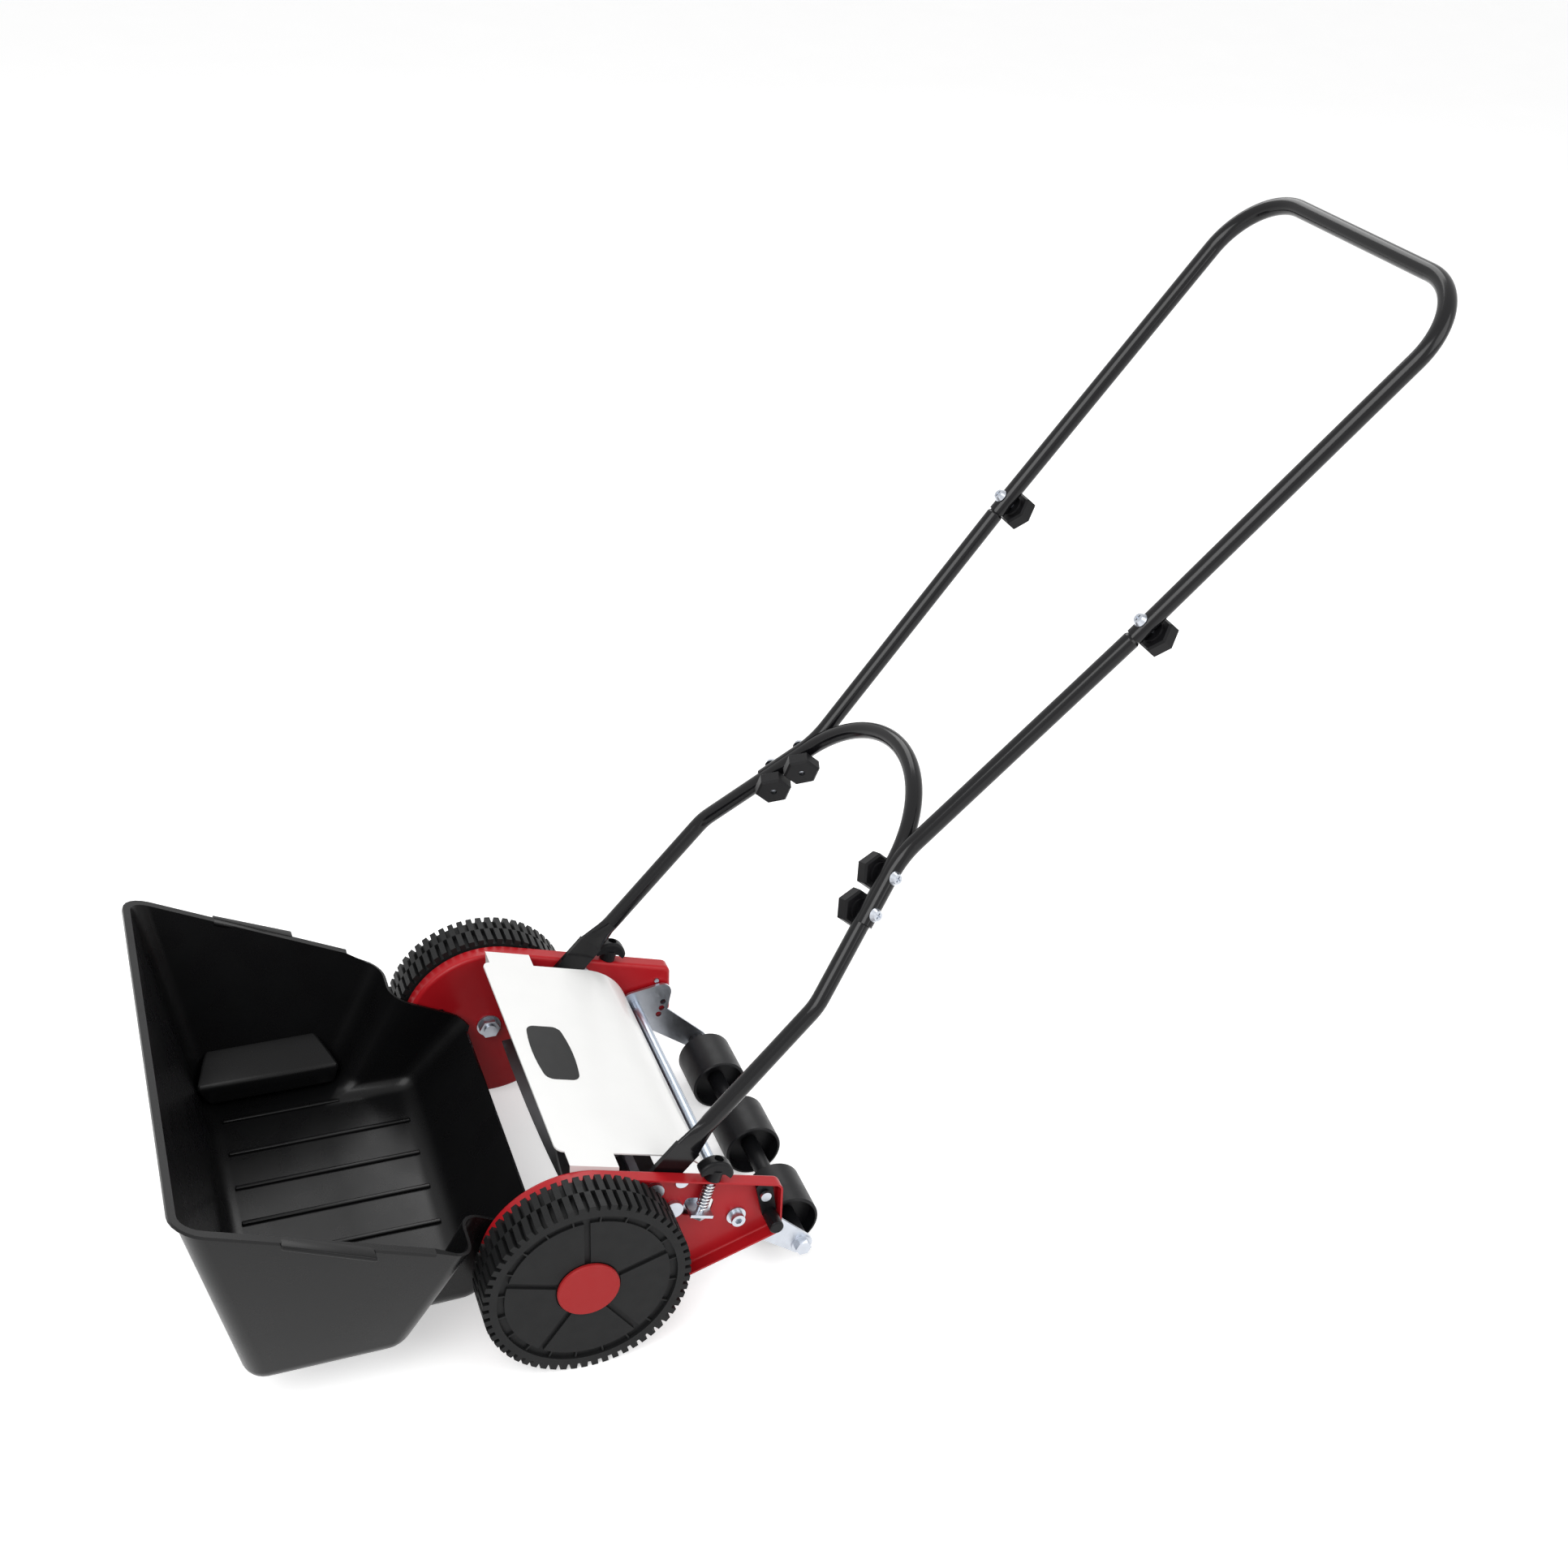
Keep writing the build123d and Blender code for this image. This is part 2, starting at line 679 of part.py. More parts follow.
with BuildPart() as wing_knob_right:
    mirror(wing_knob_left.part, about=Plane.YZ)

# Adjusting springs: one wire each, wound in quarter turns of two tangent arcs
spring_low = -ear_depth + seat_gap / 2
spring_high = -plate_thick - seat_gap / 2
spring_end = 2 * spring_wire       # bend that stands each end square to its seat
coil_low = spring_low + spring_end + spring_wire
coil_high = spring_high - spring_end - spring_wire
quarter_turns = round(4 * spring_turns)
up = adjuster.z_dir


def coil_point(quarter):
    """Point and direction of the wire after a number of quarter turns."""
    turn = quarter * pi / 2
    climb = (coil_high - coil_low) / quarter_turns
    out = adjuster.x_dir * cos(turn) + adjuster.y_dir * sin(turn)
    round_to = adjuster.y_dir * cos(turn) - adjuster.x_dir * sin(turn)
    ahead = (round_to + up * (climb / (spring_radius * pi / 2))).normalized()
    return adjuster.origin + out * spring_radius + up * (coil_low + climb * quarter), ahead


def two_arcs(start, ahead, end, arriving):
    """Two arcs that leave and arrive along given directions."""
    chord = end - start
    both = ahead + arriving
    a = 2 * (ahead.dot(arriving) - 1)
    b = -2 * chord.dot(both)
    c = chord.dot(chord)
    reach = (-b - (b * b - 4 * a * c) ** 0.5) / (2 * a)
    middle = (start + end + (ahead - arriving) * reach) * 0.5
    across = (end - arriving * reach - start - ahead * reach).normalized()
    TangentArc(start, middle, tangent=ahead)
    TangentArc(middle, end, tangent=across)


with BuildPart() as adjusting_spring_left:
    with BuildLine() as wire:
        first, leaving = coil_point(0)
        foot = first - leaving * spring_end - up * (1 - leaving.dot(up)) * spring_end
        Line(foot - up * spring_wire, foot)
        two_arcs(foot, up, first, leaving)
        for quarter in range(quarter_turns):
            two_arcs(*coil_point(quarter), *coil_point(quarter + 1))
        last, arriving = coil_point(quarter_turns)
        head = last + arriving * spring_end + up * (1 - arriving.dot(up)) * spring_end
        two_arcs(last, arriving, head, up)
        Line(head, head + up * spring_wire)
    with BuildSketch(Plane(wire.line @ 0, z_dir=wire.line % 0)):
        Circle(spring_wire / 2)
    sweep(path=wire.line)

with BuildPart() as adjusting_spring_right:
    mirror(adjusting_spring_left.part, about=Plane.YZ)

wire_steps = 24 * quarter_turns
wire_points = [wire.line @ (step / wire_steps) for step in range(wire_steps + 1)]
apart = 30
spring_gap = min(
    (wire_points[i] - wire_points[j]).length
    for i in range(wire_steps + 1)
    for j in range(i + apart, wire_steps + 1)
) - spring_wire
print(f"least gap between the spring's turns: {spring_gap:.2f} mm")

# Rear roller: arms hung on the tie rod, an axle and three cupped drums
height_holes = [index_first - index_step * hole for hole in range(index_count)]
with BuildPart() as roller_arm_left:
    with BuildSketch(side.offset(arm_in)) as arm:
        with Locations(tie_at):
            Circle(arm_boss)
        with Locations(roller_at):
            Circle(arm_tip)
        make_hull()
        with BuildSketch(mode=Mode.ADD):
            with Locations(tie_at):
                Circle(arm_boss)
            with Locations(turned(index_radius, 20, tie_at)):
                Circle(arm_tip)
            with Locations(turned(index_radius, height_holes[-1], tie_at)):
                Circle(arm_tip - 2)
            make_hull()
    extrude(amount=arm_thick)
    rod(tie_at, arm_in - 1, plate_in, tie_radius + run_fit, Mode.SUBTRACT)
    rod(roller_at, arm_in - 1, plate_in, roller_axle_radius + 0.05, Mode.SUBTRACT)
    for angle in height_holes:
        hole = turned(index_radius, angle, tie_at)
        rod(hole, arm_in - 1, plate_in, pin_radius + bolt_slack, Mode.SUBTRACT)

with BuildPart() as roller_arm_right:
    mirror(roller_arm_left.part, about=Plane.YZ)

with BuildPart() as roller_axle:
    rod(roller_at, -arm_in - arm_thick, arm_in + arm_thick, roller_axle_radius)

with BuildPart() as roller_bolts:
    rod(roller_at, arm_in + arm_thick, arm_in + arm_thick + 1.2, 8)
    hexagon(roller_at, arm_in + arm_thick + 1.2, arm_in + arm_thick + 6, 11)
    mirror(about=Plane.YZ)

spacer_radius = 7.0
spacer_bore = roller_axle_radius + 0.05
drum_faces = [
    (drum * drum_pitch - drum_length / 2, drum * drum_pitch + drum_length / 2)
    for drum in (-1, 0, 1)
]
spacer_runs = (
    (-arm_in, drum_faces[0][0] + drum_recess),
    (drum_faces[0][1] - drum_recess, drum_faces[1][0] + drum_recess),
    (drum_faces[1][1] - drum_recess, drum_faces[2][0] + drum_recess),
    (drum_faces[2][1] - drum_recess, arm_in),
)
with BuildPart() as roller_spacers:
    for x_from, x_to in spacer_runs:
        rod(roller_at, x_from + seat_gap, x_to - seat_gap, spacer_radius)
        rod(roller_at, x_from, x_to, spacer_bore, Mode.SUBTRACT)

roller_axis = Axis((0, axle_y + roller_at[0], roller_at[1]), (1, 0, 0))
roller_plane = Plane((0, axle_y + roller_at[0], roller_at[1]), x_dir=(1, 0, 0), z_dir=(0, -1, 0))
drum_radius = roller_at[1]
drums = []
for x_from, x_to in drum_faces:
    with BuildPart() as drum:
        with BuildSketch(roller_plane):
            with BuildLine():
                Polyline(
                    (x_from + drum_recess, roller_axle_radius + run_fit),
                    (x_from + drum_recess, drum_radius - drum_wall),
                    (x_from, drum_radius - drum_wall),
                    (x_from, drum_radius - 1),
                    (x_from + 1, drum_radius),
                    (x_to - 1, drum_radius),
                    (x_to, drum_radius - 1),
                    (x_to, drum_radius - drum_wall),
                    (x_to - drum_recess, drum_radius - drum_wall),
                    (x_to - drum_recess, roller_axle_radius + run_fit),
                    close=True,
                )
            make_face()
        revolve(axis=roller_axis)
    drums.append(drum)
roller_drum_right, roller_drum_middle, roller_drum_left = drums

# Height levers on the plates' outer faces, each with a locking pin
lever_in = plate_out + seat_gap
lever_out = lever_in + lever_thick
pin_tip = arm_in + arm_thick + seat_gap
with BuildPart() as height_lever_left:
    with BuildSketch(side.offset(lever_in)):
        with Locations(index_pin_at):
            Circle(lever_round)
        top_corners = [(lever_screw_at[0] + shift, lever_top - lever_corner) for shift in (-3.5, 3)]
        with Locations(*top_corners):
            Circle(lever_corner)
        make_hull()
        with Locations(lever_screw_at):
            Circle(screw_radius + 1, mode=Mode.SUBTRACT)
    extrude(amount=lever_thick)
    fillet(height_lever_left.faces().sort_by(Axis.X)[0].outer_wire().edges(), lever_edge)
    rod(index_pin_at, pin_tip, lever_in + 1, pin_radius)
    rod(index_pin_at, lever_out - 1, lever_reach, lever_round)
    fillet(height_lever_left.faces().sort_by(Axis.X)[-1].edges(), lever_edge)

with BuildPart() as height_lever_right:
    mirror(height_lever_left.part, about=Plane.YZ)

screw_head = 4.0
screw_head_height = 2.4
lever_arm = lever_top - lever_edge - lever_screw_at[1] + screw_head
head_room = lever_arm * tan(radians(lever_swing)) + seat_gap
with BuildPart() as lever_screws:
    rod(lever_screw_at, plate_in - 1.5, lever_out + head_room, screw_radius)
    rod(lever_screw_at, lever_out + head_room, lever_out + head_room + screw_head_height, screw_head)
    mirror(about=Plane.YZ)

# Lower handle: one bent tube with flattened ends
lean = radians(leg_lean)
apex = knee_at + leg_half / tan(lean)
leg_path_points = (
    (leg_half, flat_from),
    (leg_half, knee_at),
    (0, apex),
    (-leg_half, knee_at),
    (-leg_half, flat_from),
)
flat_middle = plate_in - seat_gap - flat_thick / 2


def leg_point(along):
    """Point of the leg's middle line at a distance above the knee."""
    return (leg_half - along * sin(lean), knee_at + along * cos(lean))


with BuildLine(handle_plane) as lower_path:
    FilletPolyline(*leg_path_points, radius=(knee_radius, arch_radius, knee_radius))

clamp_axes = [
    Plane(
        handle_plane.from_local_coords(leg_point(along)),
        x_dir=handle_plane.z_dir,
        z_dir=handle_plane.x_dir * cos(lean) + handle_plane.y_dir * sin(lean),
    )
    for along in clamp_bolts
]
with BuildPart() as lower_handle:
    with BuildSketch(Plane(lower_path.line @ 0, z_dir=lower_path.line % 0)):
        Circle(tube_radius)
        Circle(tube_radius - tube_wall, mode=Mode.SUBTRACT)
    sweep(path=lower_path.line)
    cross = Plane(handle_plane.origin, x_dir=handle_plane.x_dir, z_dir=handle_plane.y_dir)
    with BuildSketch(cross.offset(flat_from)):
        with Locations((leg_half, 0)):
            Circle(tube_radius)
    with BuildSketch(cross.offset(flat_to)):
        with Locations((flat_middle, 0)):
            SlotOverall(flat_width, flat_thick - 0.01, rotation=90)
    loft()
    with BuildSketch(side.offset(flat_in)):
        with Locations(handle_pivot_at):
            Circle(flat_width / 2)
        flat_top = (pivot_at + flat_to) / 2
        with Locations(Location((*slope_point(flat_top), 0), (0, 0, handle_angle))):
            Rectangle(flat_to - pivot_at, flat_width)
    extrude(amount=flat_thick)
    rod(handle_pivot_at, flat_in - 1, plate_in, pivot_radius + run_fit, Mode.SUBTRACT)
    split(bisect_by=Plane.YZ, keep=Keep.TOP)
    with Locations(*clamp_axes):
        Cylinder(bolt_radius + bolt_slack, 4 * tube_radius, mode=Mode.SUBTRACT)
    mirror(about=Plane.YZ)

with BuildPart() as handle_pivot_bolts:
    rod(handle_pivot_at, plate_out, plate_out + 3.5, 7)
    rod(handle_pivot_at, flat_in - 8, plate_out, pivot_radius)
    rod(handle_pivot_at, flat_in - 1.6 - seat_gap, flat_in - seat_gap, 8)
    hexagon(handle_pivot_at, flat_in - 7, flat_in - 1.6 - seat_gap, 13)
    mirror(about=Plane.YZ)

with BuildPart() as handle_stop_pins:
    rod(stop_pin_at, flat_in, plate_out + 1, stop_radius)
    rod(stop_pin_at, plate_out, plate_out + 1.6, stop_radius + 2)
    mirror(about=Plane.YZ)

# Middle tubes: pressed over the lower legs, swaged into the upper handle
middle_tan = tan(radians(middle_lean))
outer_leg = leg_half + nest / cos(lean)
bend_at = (outer_leg + knee_at * tan(lean) - joint_half + joint_at * middle_tan) / (
    tan(lean) + middle_tan
)
swage_at = joint_at - joint_overlap


def middle_x(along):
    """Half distance between the middle tubes at a place on the slope."""
    return joint_half - (joint_at - along) * middle_tan


low = leg_point(clamp_end)
middle_points = (
    (low[0] + nest * cos(lean), low[1] + nest * sin(lean)),
    (middle_x(bend_at), bend_at),
    (middle_x(swage_at), swage_at),
)
upper_tan = tan(radians(upper_lean))
upper_dir = handle_plane.x_dir * sin(radians(upper_lean)) + handle_plane.y_dir * cos(
    radians(upper_lean)
)
swage_origin = handle_plane.from_local_coords((middle_x(swage_at), swage_at))
swage = Plane(swage_origin, x_dir=handle_plane.x_dir, z_dir=upper_dir)
joint_axis = Plane(
    handle_plane.from_local_coords((middle_x(swage_at) + joint_overlap * upper_tan, joint_at)),
    x_dir=handle_plane.x_dir,
    z_dir=handle_plane.z_dir,
)
with BuildLine(handle_plane) as middle_path:
    FilletPolyline(*middle_points, radius=middle_bend)
bore_dir = (middle_path.line % 1) * -1
leg_dir = handle_plane.y_dir * cos(lean) - handle_plane.x_dir * sin(lean)
saddle = Plane(handle_plane.from_local_coords(leg_point(0)), x_dir=handle_plane.z_dir, z_dir=leg_dir)
arch_at = apex - arch_radius / sin(lean)
arch = Plane(handle_plane.from_local_coords((0, arch_at)), z_dir=handle_plane.z_dir)
saddle_length = (leg_half - arch_radius * cos(lean)) / sin(lean) + tube_radius

with BuildPart() as middle_tube_left:
    with BuildSketch(Plane(middle_path.line @ 0, z_dir=middle_path.line % 0)):
        Circle(tube_radius)
    sweep(path=middle_path.line)
    # Shoulder below the upper tube, then the neck that enters it
    with BuildSketch(Plane(middle_path.line @ 1, z_dir=middle_path.line % 1)):
        Circle(tube_radius)
    extrude(amount=shoulder, taper=30)
    with BuildSketch(swage.offset(-shoulder)):
        Circle(neck_radius)
    extrude(amount=swage_length + shoulder)
    # Saddle over the lower leg and the start of its arch
    with BuildSketch(saddle):
        Circle(tube_radius + seat_gap)
    extrude(amount=saddle_length, mode=Mode.SUBTRACT)
    with Locations(arch):
        Torus(arch_radius, tube_radius + seat_gap, mode=Mode.SUBTRACT)
    bore_length = swage_at - bend_at - 2 * tube_radius - middle_bend * tan(lean / 2)
    with BuildSketch(Plane(middle_path.line @ 1, z_dir=bore_dir).offset(tube_radius)):
        Circle(tube_radius - tube_wall)
    extrude(amount=bore_length - tube_radius, mode=Mode.SUBTRACT)
    with BuildSketch(swage.offset(swage_length)):
        Circle(neck_radius - tube_wall)
    extrude(amount=-swage_length - 2 * tube_radius, mode=Mode.SUBTRACT)
    with Locations(*clamp_axes):
        Cylinder(bolt_radius + bolt_slack, 4 * tube_radius, mode=Mode.SUBTRACT)
    with Locations(joint_axis):
        Cylinder(bolt_radius + bolt_slack, 4 * tube_radius, mode=Mode.SUBTRACT)

with BuildPart() as middle_tube_right:
    mirror(middle_tube_left.part, about=Plane.YZ)

# Upper handle: one bent tube whose ends take the middle tubes
upper_start = swage_at + 2.4
upper_half = middle_x(swage_at) + (upper_start - swage_at) * upper_tan
bar_half = middle_x(swage_at) + (bar_at - swage_at) * upper_tan
with BuildLine(handle_plane) as upper_path:
    FilletPolyline(
        (upper_half, upper_start),
        (bar_half, bar_at),
        (-bar_half, bar_at),
        (-upper_half, upper_start),
        radius=bar_bend,
    )
with BuildPart() as upper_handle:
    with BuildSketch(Plane(upper_path.line @ 0, z_dir=upper_path.line % 0)):
        Circle(tube_radius)
        Circle(tube_radius - tube_wall, mode=Mode.SUBTRACT)
    sweep(path=upper_path.line)
    with Locations(joint_axis):
        Cylinder(bolt_radius + bolt_slack, 4 * tube_radius, mode=Mode.SUBTRACT)
    split(bisect_by=Plane.YZ, keep=Keep.TOP)
    mirror(about=Plane.YZ)

# Clamp bolts of the handle, and the knobs on their ends
knob_seat = tube_radius + seat_gap
knob_height = knob_neck + knob_thick
bolt_end = knob_seat + knob_height - 2


def clamp_bolt(axis, head_seat):
    """Cross-headed bolt along a plane's normal, its head on the far side."""
    with BuildSketch(axis.offset(head_seat), mode=Mode.PRIVATE) as head:
        Circle(bolt_head)
    extrude(head.sketch, amount=bolt_head_height, taper=25)
    with BuildSketch(axis.offset(head_seat + bolt_head_height), mode=Mode.PRIVATE) as recess:
        Rectangle(cross_length, cross_width)
        Rectangle(cross_width, cross_length)
    extrude(recess.sketch, amount=-cross_depth, mode=Mode.SUBTRACT)
    with BuildSketch(axis.offset(-bolt_end), mode=Mode.PRIVATE) as shank:
        Circle(bolt_radius)
    extrude(shank.sketch, amount=bolt_end + head_seat + 1)


with BuildPart() as middle_joint_bolts:
    for axis in clamp_axes:
        clamp_bolt(axis, tube_radius + nest + 0.2)
    mirror(about=Plane.YZ)

with BuildPart() as upper_joint_bolts:
    clamp_bolt(joint_axis, tube_radius + 0.1)
    mirror(about=Plane.YZ)

knobs = {}
knob_axes = {
    "lower_knob": clamp_axes[0],
    "middle_knob": clamp_axes[1],
    "upper_knob": joint_axis,
}
for knob_name, axis in knob_axes.items():
    with BuildPart() as knob:
        with BuildSketch(axis.offset(-knob_seat)):
            Circle(knob_across / 3)
        extrude(amount=-knob_neck)
        with BuildSketch(axis.offset(-knob_seat - knob_neck)):
            RegularPolygon(knob_across / 2, 6, major_radius=False)
        extrude(amount=-knob_thick)
        rims = knob.edges().filter_by(GeomType.LINE).group_by(SortBy.LENGTH)[-1]
        chamfer(rims, 1.5)
        with BuildSketch(axis.offset(-knob_seat)):
            Circle(bolt_radius + run_fit)
        extrude(amount=-knob_height, mode=Mode.SUBTRACT)
    knobs[knob_name + "_left"] = knob
    with BuildPart() as other_knob:
        mirror(knob.part, about=Plane.YZ)
    knobs[knob_name + "_right"] = other_knob

# Cover: sheet bent over the reel, with a screwed tab at each end
with BuildPart() as top_cover:
    with BuildSketch(side.offset(-cover_half)):
        with BuildLine() as profile:
            flat_run = Line(*cover_line)
            bend = JernArc(flat_run @ 1, flat_run % 1, cover_bend, top_slope - cover_drop)
            PolarLine(bend @ 1, cover_skirt, direction=bend % 1)
            offset(amount=cover_thick, side=Side.RIGHT)
        make_face()
    extrude(amount=2 * cover_half)
    tab_x = plate_in - 0.1
    with BuildSketch(side.offset(cover_half - 1)):
        with BuildLine():
            tab_top = [
                (y, top_start[1] - (y - top_start[0]) * top_tan + cover_lift)
                for y in (tab_from, tab_to)
            ]
            Polyline(
                *tab_top,
                (tab_to, tab_top[1][1] - cover_thick),
                (tab_from, tab_top[0][1] - cover_thick),
                close=True,
            )
        make_face()
    extrude(amount=tab_x - cover_half + 1)
    with BuildSketch(side.offset(tab_x - cover_thick)):
        with BuildLine():
            Polyline(
                *tab_top,
                (tab_to, tab_top[1][1] - tab_depth),
                (tab_from, tab_top[0][1] - tab_depth),
                close=True,
            )
        make_face()
    extrude(amount=cover_thick)
    rod(tab_screw_at, tab_x - 3, tab_x + 1, screw_radius + bolt_slack, Mode.SUBTRACT)
    split(bisect_by=Plane.YZ, keep=Keep.TOP)
    fillet(top_cover.faces().sort_by(Axis.Y)[0].edges().sort_by(Axis.X)[-1], cover_corner)
    mirror(about=Plane.YZ)

with BuildPart() as cover_screws:
    rod(tab_screw_at, plate_in - 6, plate_out + 1, screw_radius)
    rod(tab_screw_at, plate_out, plate_out + screw_head_height, screw_head)
    hexagon(tab_screw_at, plate_in - 5, plate_in - cover_thick - 0.2, 7)
    mirror(about=Plane.YZ)

# Catcher: drafted bin with a ramped mouth between the plates
bin_draft = (bin_half_high - bin_half_low) / (bin_height - bin_floor)


def bin_block(inset, reach):
    """The bin's outer or inner form, drawn in by a wall; reach sets the mouth's rear end."""
    with BuildPart() as block:
        for level, half, front, rear in (
            (bin_floor + inset, bin_half_low + inset * bin_draft, bin_front_low, bin_rear_low),
            (bin_height, bin_half_high, bin_front_high, bin_rear_high),
        ):
            with BuildSketch(Plane.XY.offset(level)) as outline:
                with Locations((0, axle_y + (front + rear) / 2)):
                    Rectangle(2 * (half - inset), rear - front - 2 * inset)
                front_corners, rear_corners = outline.vertices().group_by(Axis.Y)
                fillet(front_corners, bin_front_corner - inset)
                fillet(rear_corners, bin_rear_corner - inset)
        loft()
        fillet(block.faces().sort_by(Axis.Z)[0].edges(), bin_floor_corner - inset)
    with BuildPart() as mouth:
        with BuildSketch(side.offset(-mouth_half + inset)) as outline:
            with BuildLine():
                Polyline(
                    (bin_rear_low - 40, bin_floor + inset),
                    (mouth_ramp - inset, bin_floor + inset),
                    (reach, mouth_lip + inset + (reach - mouth_rear)),
                    (reach, bin_height),
                    (bin_rear_low - 40, bin_height),
                    close=True,
                )
            make_face()
            fillet(outline.vertices().sort_by(Axis.Y)[:2].sort_by(Axis.X)[-1], throat_corner)
        extrude(amount=2 * (mouth_half - inset))
    with BuildPart() as whole:
        add(block.part)
        add(mouth.part)
    return whole.part, block.part


with BuildPart() as above_rim:
    with BuildSketch(side.offset(-2 * bin_half_high)):
        with BuildLine():
            Polyline(*rim_points, (rim_points[-1][0], 400), (rim_points[0][0], 400), close=True)
        make_face()
    extrude(amount=4 * bin_half_high)

bin_outer, bin_body = bin_block(0, mouth_rear)
bin_inner, _ = bin_block(bin_wall, mouth_rear + 30)
_, lip_body = bin_block(-rim_lip, mouth_rear)
with BuildPart() as rim_ring:
    with BuildSketch(side.offset(-2 * bin_half_high)):
        with BuildLine():
            front_part = rim_points[:2]
            lowered = [(y, z - rim_lip) for y, z in reversed(front_part)]
            Polyline(*front_part, *lowered, close=True)
        make_face()
    extrude(amount=4 * bin_half_high)
    add(lip_body, mode=Mode.INTERSECT)

rim_angle = degrees(
    atan2(rim_points[1][1] - rim_points[0][1], rim_points[1][0] - rim_points[0][0])
)
grip_middle = (grip_from + grip_to) / 2
rim_tan = tan(radians(rim_angle))
grip_height = rim_points[1][1] + (grip_middle - rim_points[1][0]) * rim_tan - rim_lip / 2
grip_half = bin_half_low + (grip_height - bin_floor) * bin_draft
rib_from = bin_front_low + 6
rib_to = mouth_ramp - 8
# Ledge moulded into each side wall
with BuildPart() as ledge:
    with BuildSketch(Plane((0, axle_y + ledge_from, 0), x_dir=(1, 0, 0), z_dir=(0, 1, 0))):
        with BuildLine():
            Polyline(
                (plate_in + ledge_inset, -bin_floor),
                (plate_in + ledge_inset, -ledge_front),
                (bin_half_high, -ledge_back),
                (bin_half_high, -bin_floor),
                close=True,
            )
        make_face()
    extrude(amount=ledge_to - ledge_from)
    add(bin_body, mode=Mode.INTERSECT)
    mirror(about=Plane.YZ)

with BuildPart() as catcher:
    add(bin_outer)
    add(rim_ring.part)
    # Grip along each side of the rim
    with BuildSketch(side.offset(-grip_half - grip_width)):
        with Locations(Location((grip_middle, grip_height, 0), (0, 0, rim_angle))):
            RectangleRounded(grip_to - grip_from, rim_lip, 1.5)
    extrude(amount=2 * (grip_half + grip_width))
    # Hooks that rest on the plates' pins
    with BuildSketch(side.offset(-plate_in + seat_gap)):
        with Locations((catcher_pin_at[0], catcher_pin_at[1] + 4)):
            RectangleRounded(16, 14, 2)
        with Locations(catcher_pin_at):
            Circle(catcher_pin_radius + seat_gap, mode=Mode.SUBTRACT)
        with Locations((catcher_pin_at[0], catcher_pin_at[1] - 6)):
            Rectangle(2 * (catcher_pin_radius + seat_gap), 12, mode=Mode.SUBTRACT)
    extrude(amount=2 * (plate_in - seat_gap))
    add(bin_inner, mode=Mode.SUBTRACT)
    add(above_rim.part, mode=Mode.SUBTRACT)
    add(ledge.part)
    for rib in range(floor_rib_count):
        place = (rib - (floor_rib_count - 1) / 2) * floor_rib_pitch
        rib_plane = Plane((place, axle_y + (rib_from + rib_to) / 2, bin_floor + bin_wall))
        length = rib_to - rib_from
        if abs(place) > mouth_half - 10:
            length = bin_rear_low - rib_from
        with BuildSketch(rib_plane):
            with Locations((0, (length - (rib_to - rib_from)) / 2)):
                SlotOverall(length, rib_width, rotation=90)
        extrude(amount=rib_height, taper=12)

with BuildPart() as catcher_pins:
    rod(catcher_pin_at, mouth_half + seat_gap, plate_out, catcher_pin_radius)
    rod(catcher_pin_at, plate_out, plate_out + 1.6, catcher_pin_radius + 2)
    mirror(about=Plane.YZ)

pieces = {
    "side_plate_left": side_plate_left,
    "side_plate_right": side_plate_right,
    "tie_rod": tie_rod,
    "tie_rod_bolts": tie_rod_bolts,
    "wheel_axles": wheel_axles,
    "axle_nuts": axle_nuts,
    "axle_clips": axle_clips,
    "wheel_left": wheel_left,
    "wheel_right": wheel_right,
    "hub_cap_left": hub_cap_left,
    "hub_cap_right": hub_cap_right,
    "pinion_left": pinion_left,
    "pinion_right": pinion_right,
    "reel_shaft": reel_shaft,
    "drive_pawls": drive_pawls,
    "reel_bearings": reel_bearings,
    "reel_blades": reel_blades,
    "reel_spiders": reel_spiders,
    "bed_knife": bed_knife,
    "bed_knife_carrier": bed_knife_carrier,
    "knife_screws": knife_screws,
    "bed_knife_pivots": bed_knife_pivots,
    "adjusting_bolts": adjusting_bolts,
    "wing_knob_left": wing_knob_left,
    "wing_knob_right": wing_knob_right,
    "adjusting_spring_left": adjusting_spring_left,
    "adjusting_spring_right": adjusting_spring_right,
    "roller_arm_left": roller_arm_left,
    "roller_arm_right": roller_arm_right,
    "roller_axle": roller_axle,
    "roller_bolts": roller_bolts,
    "roller_spacers": roller_spacers,
    "roller_drum_left": roller_drum_left,
    "roller_drum_middle": roller_drum_middle,
    "roller_drum_right": roller_drum_right,
    "height_lever_left": height_lever_left,
    "height_lever_right": height_lever_right,
    "lever_screws": lever_screws,
    "lower_handle": lower_handle,
    "handle_pivot_bolts": handle_pivot_bolts,
    "handle_stop_pins": handle_stop_pins,
    "middle_tube_left": middle_tube_left,
    "middle_tube_right": middle_tube_right,
    "upper_handle": upper_handle,
    "middle_joint_bolts": middle_joint_bolts,
    "upper_joint_bolts": upper_joint_bolts,
    **knobs,
    "top_cover": top_cover,
    "cover_screws": cover_screws,
    "catcher": catcher,
    "catcher_pins": catcher_pins,
}
for name, piece in pieces.items():
    piece.part.label = name
    export_step(piece.part, f"parts/{name}.step")
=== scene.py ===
"""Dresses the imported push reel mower: finishes, springs, bin, bare label, light and camera."""
import logging
import math
from dataclasses import dataclass
from enum import Enum

import bmesh
import bpy
from mathutils import Euler, Matrix, Vector


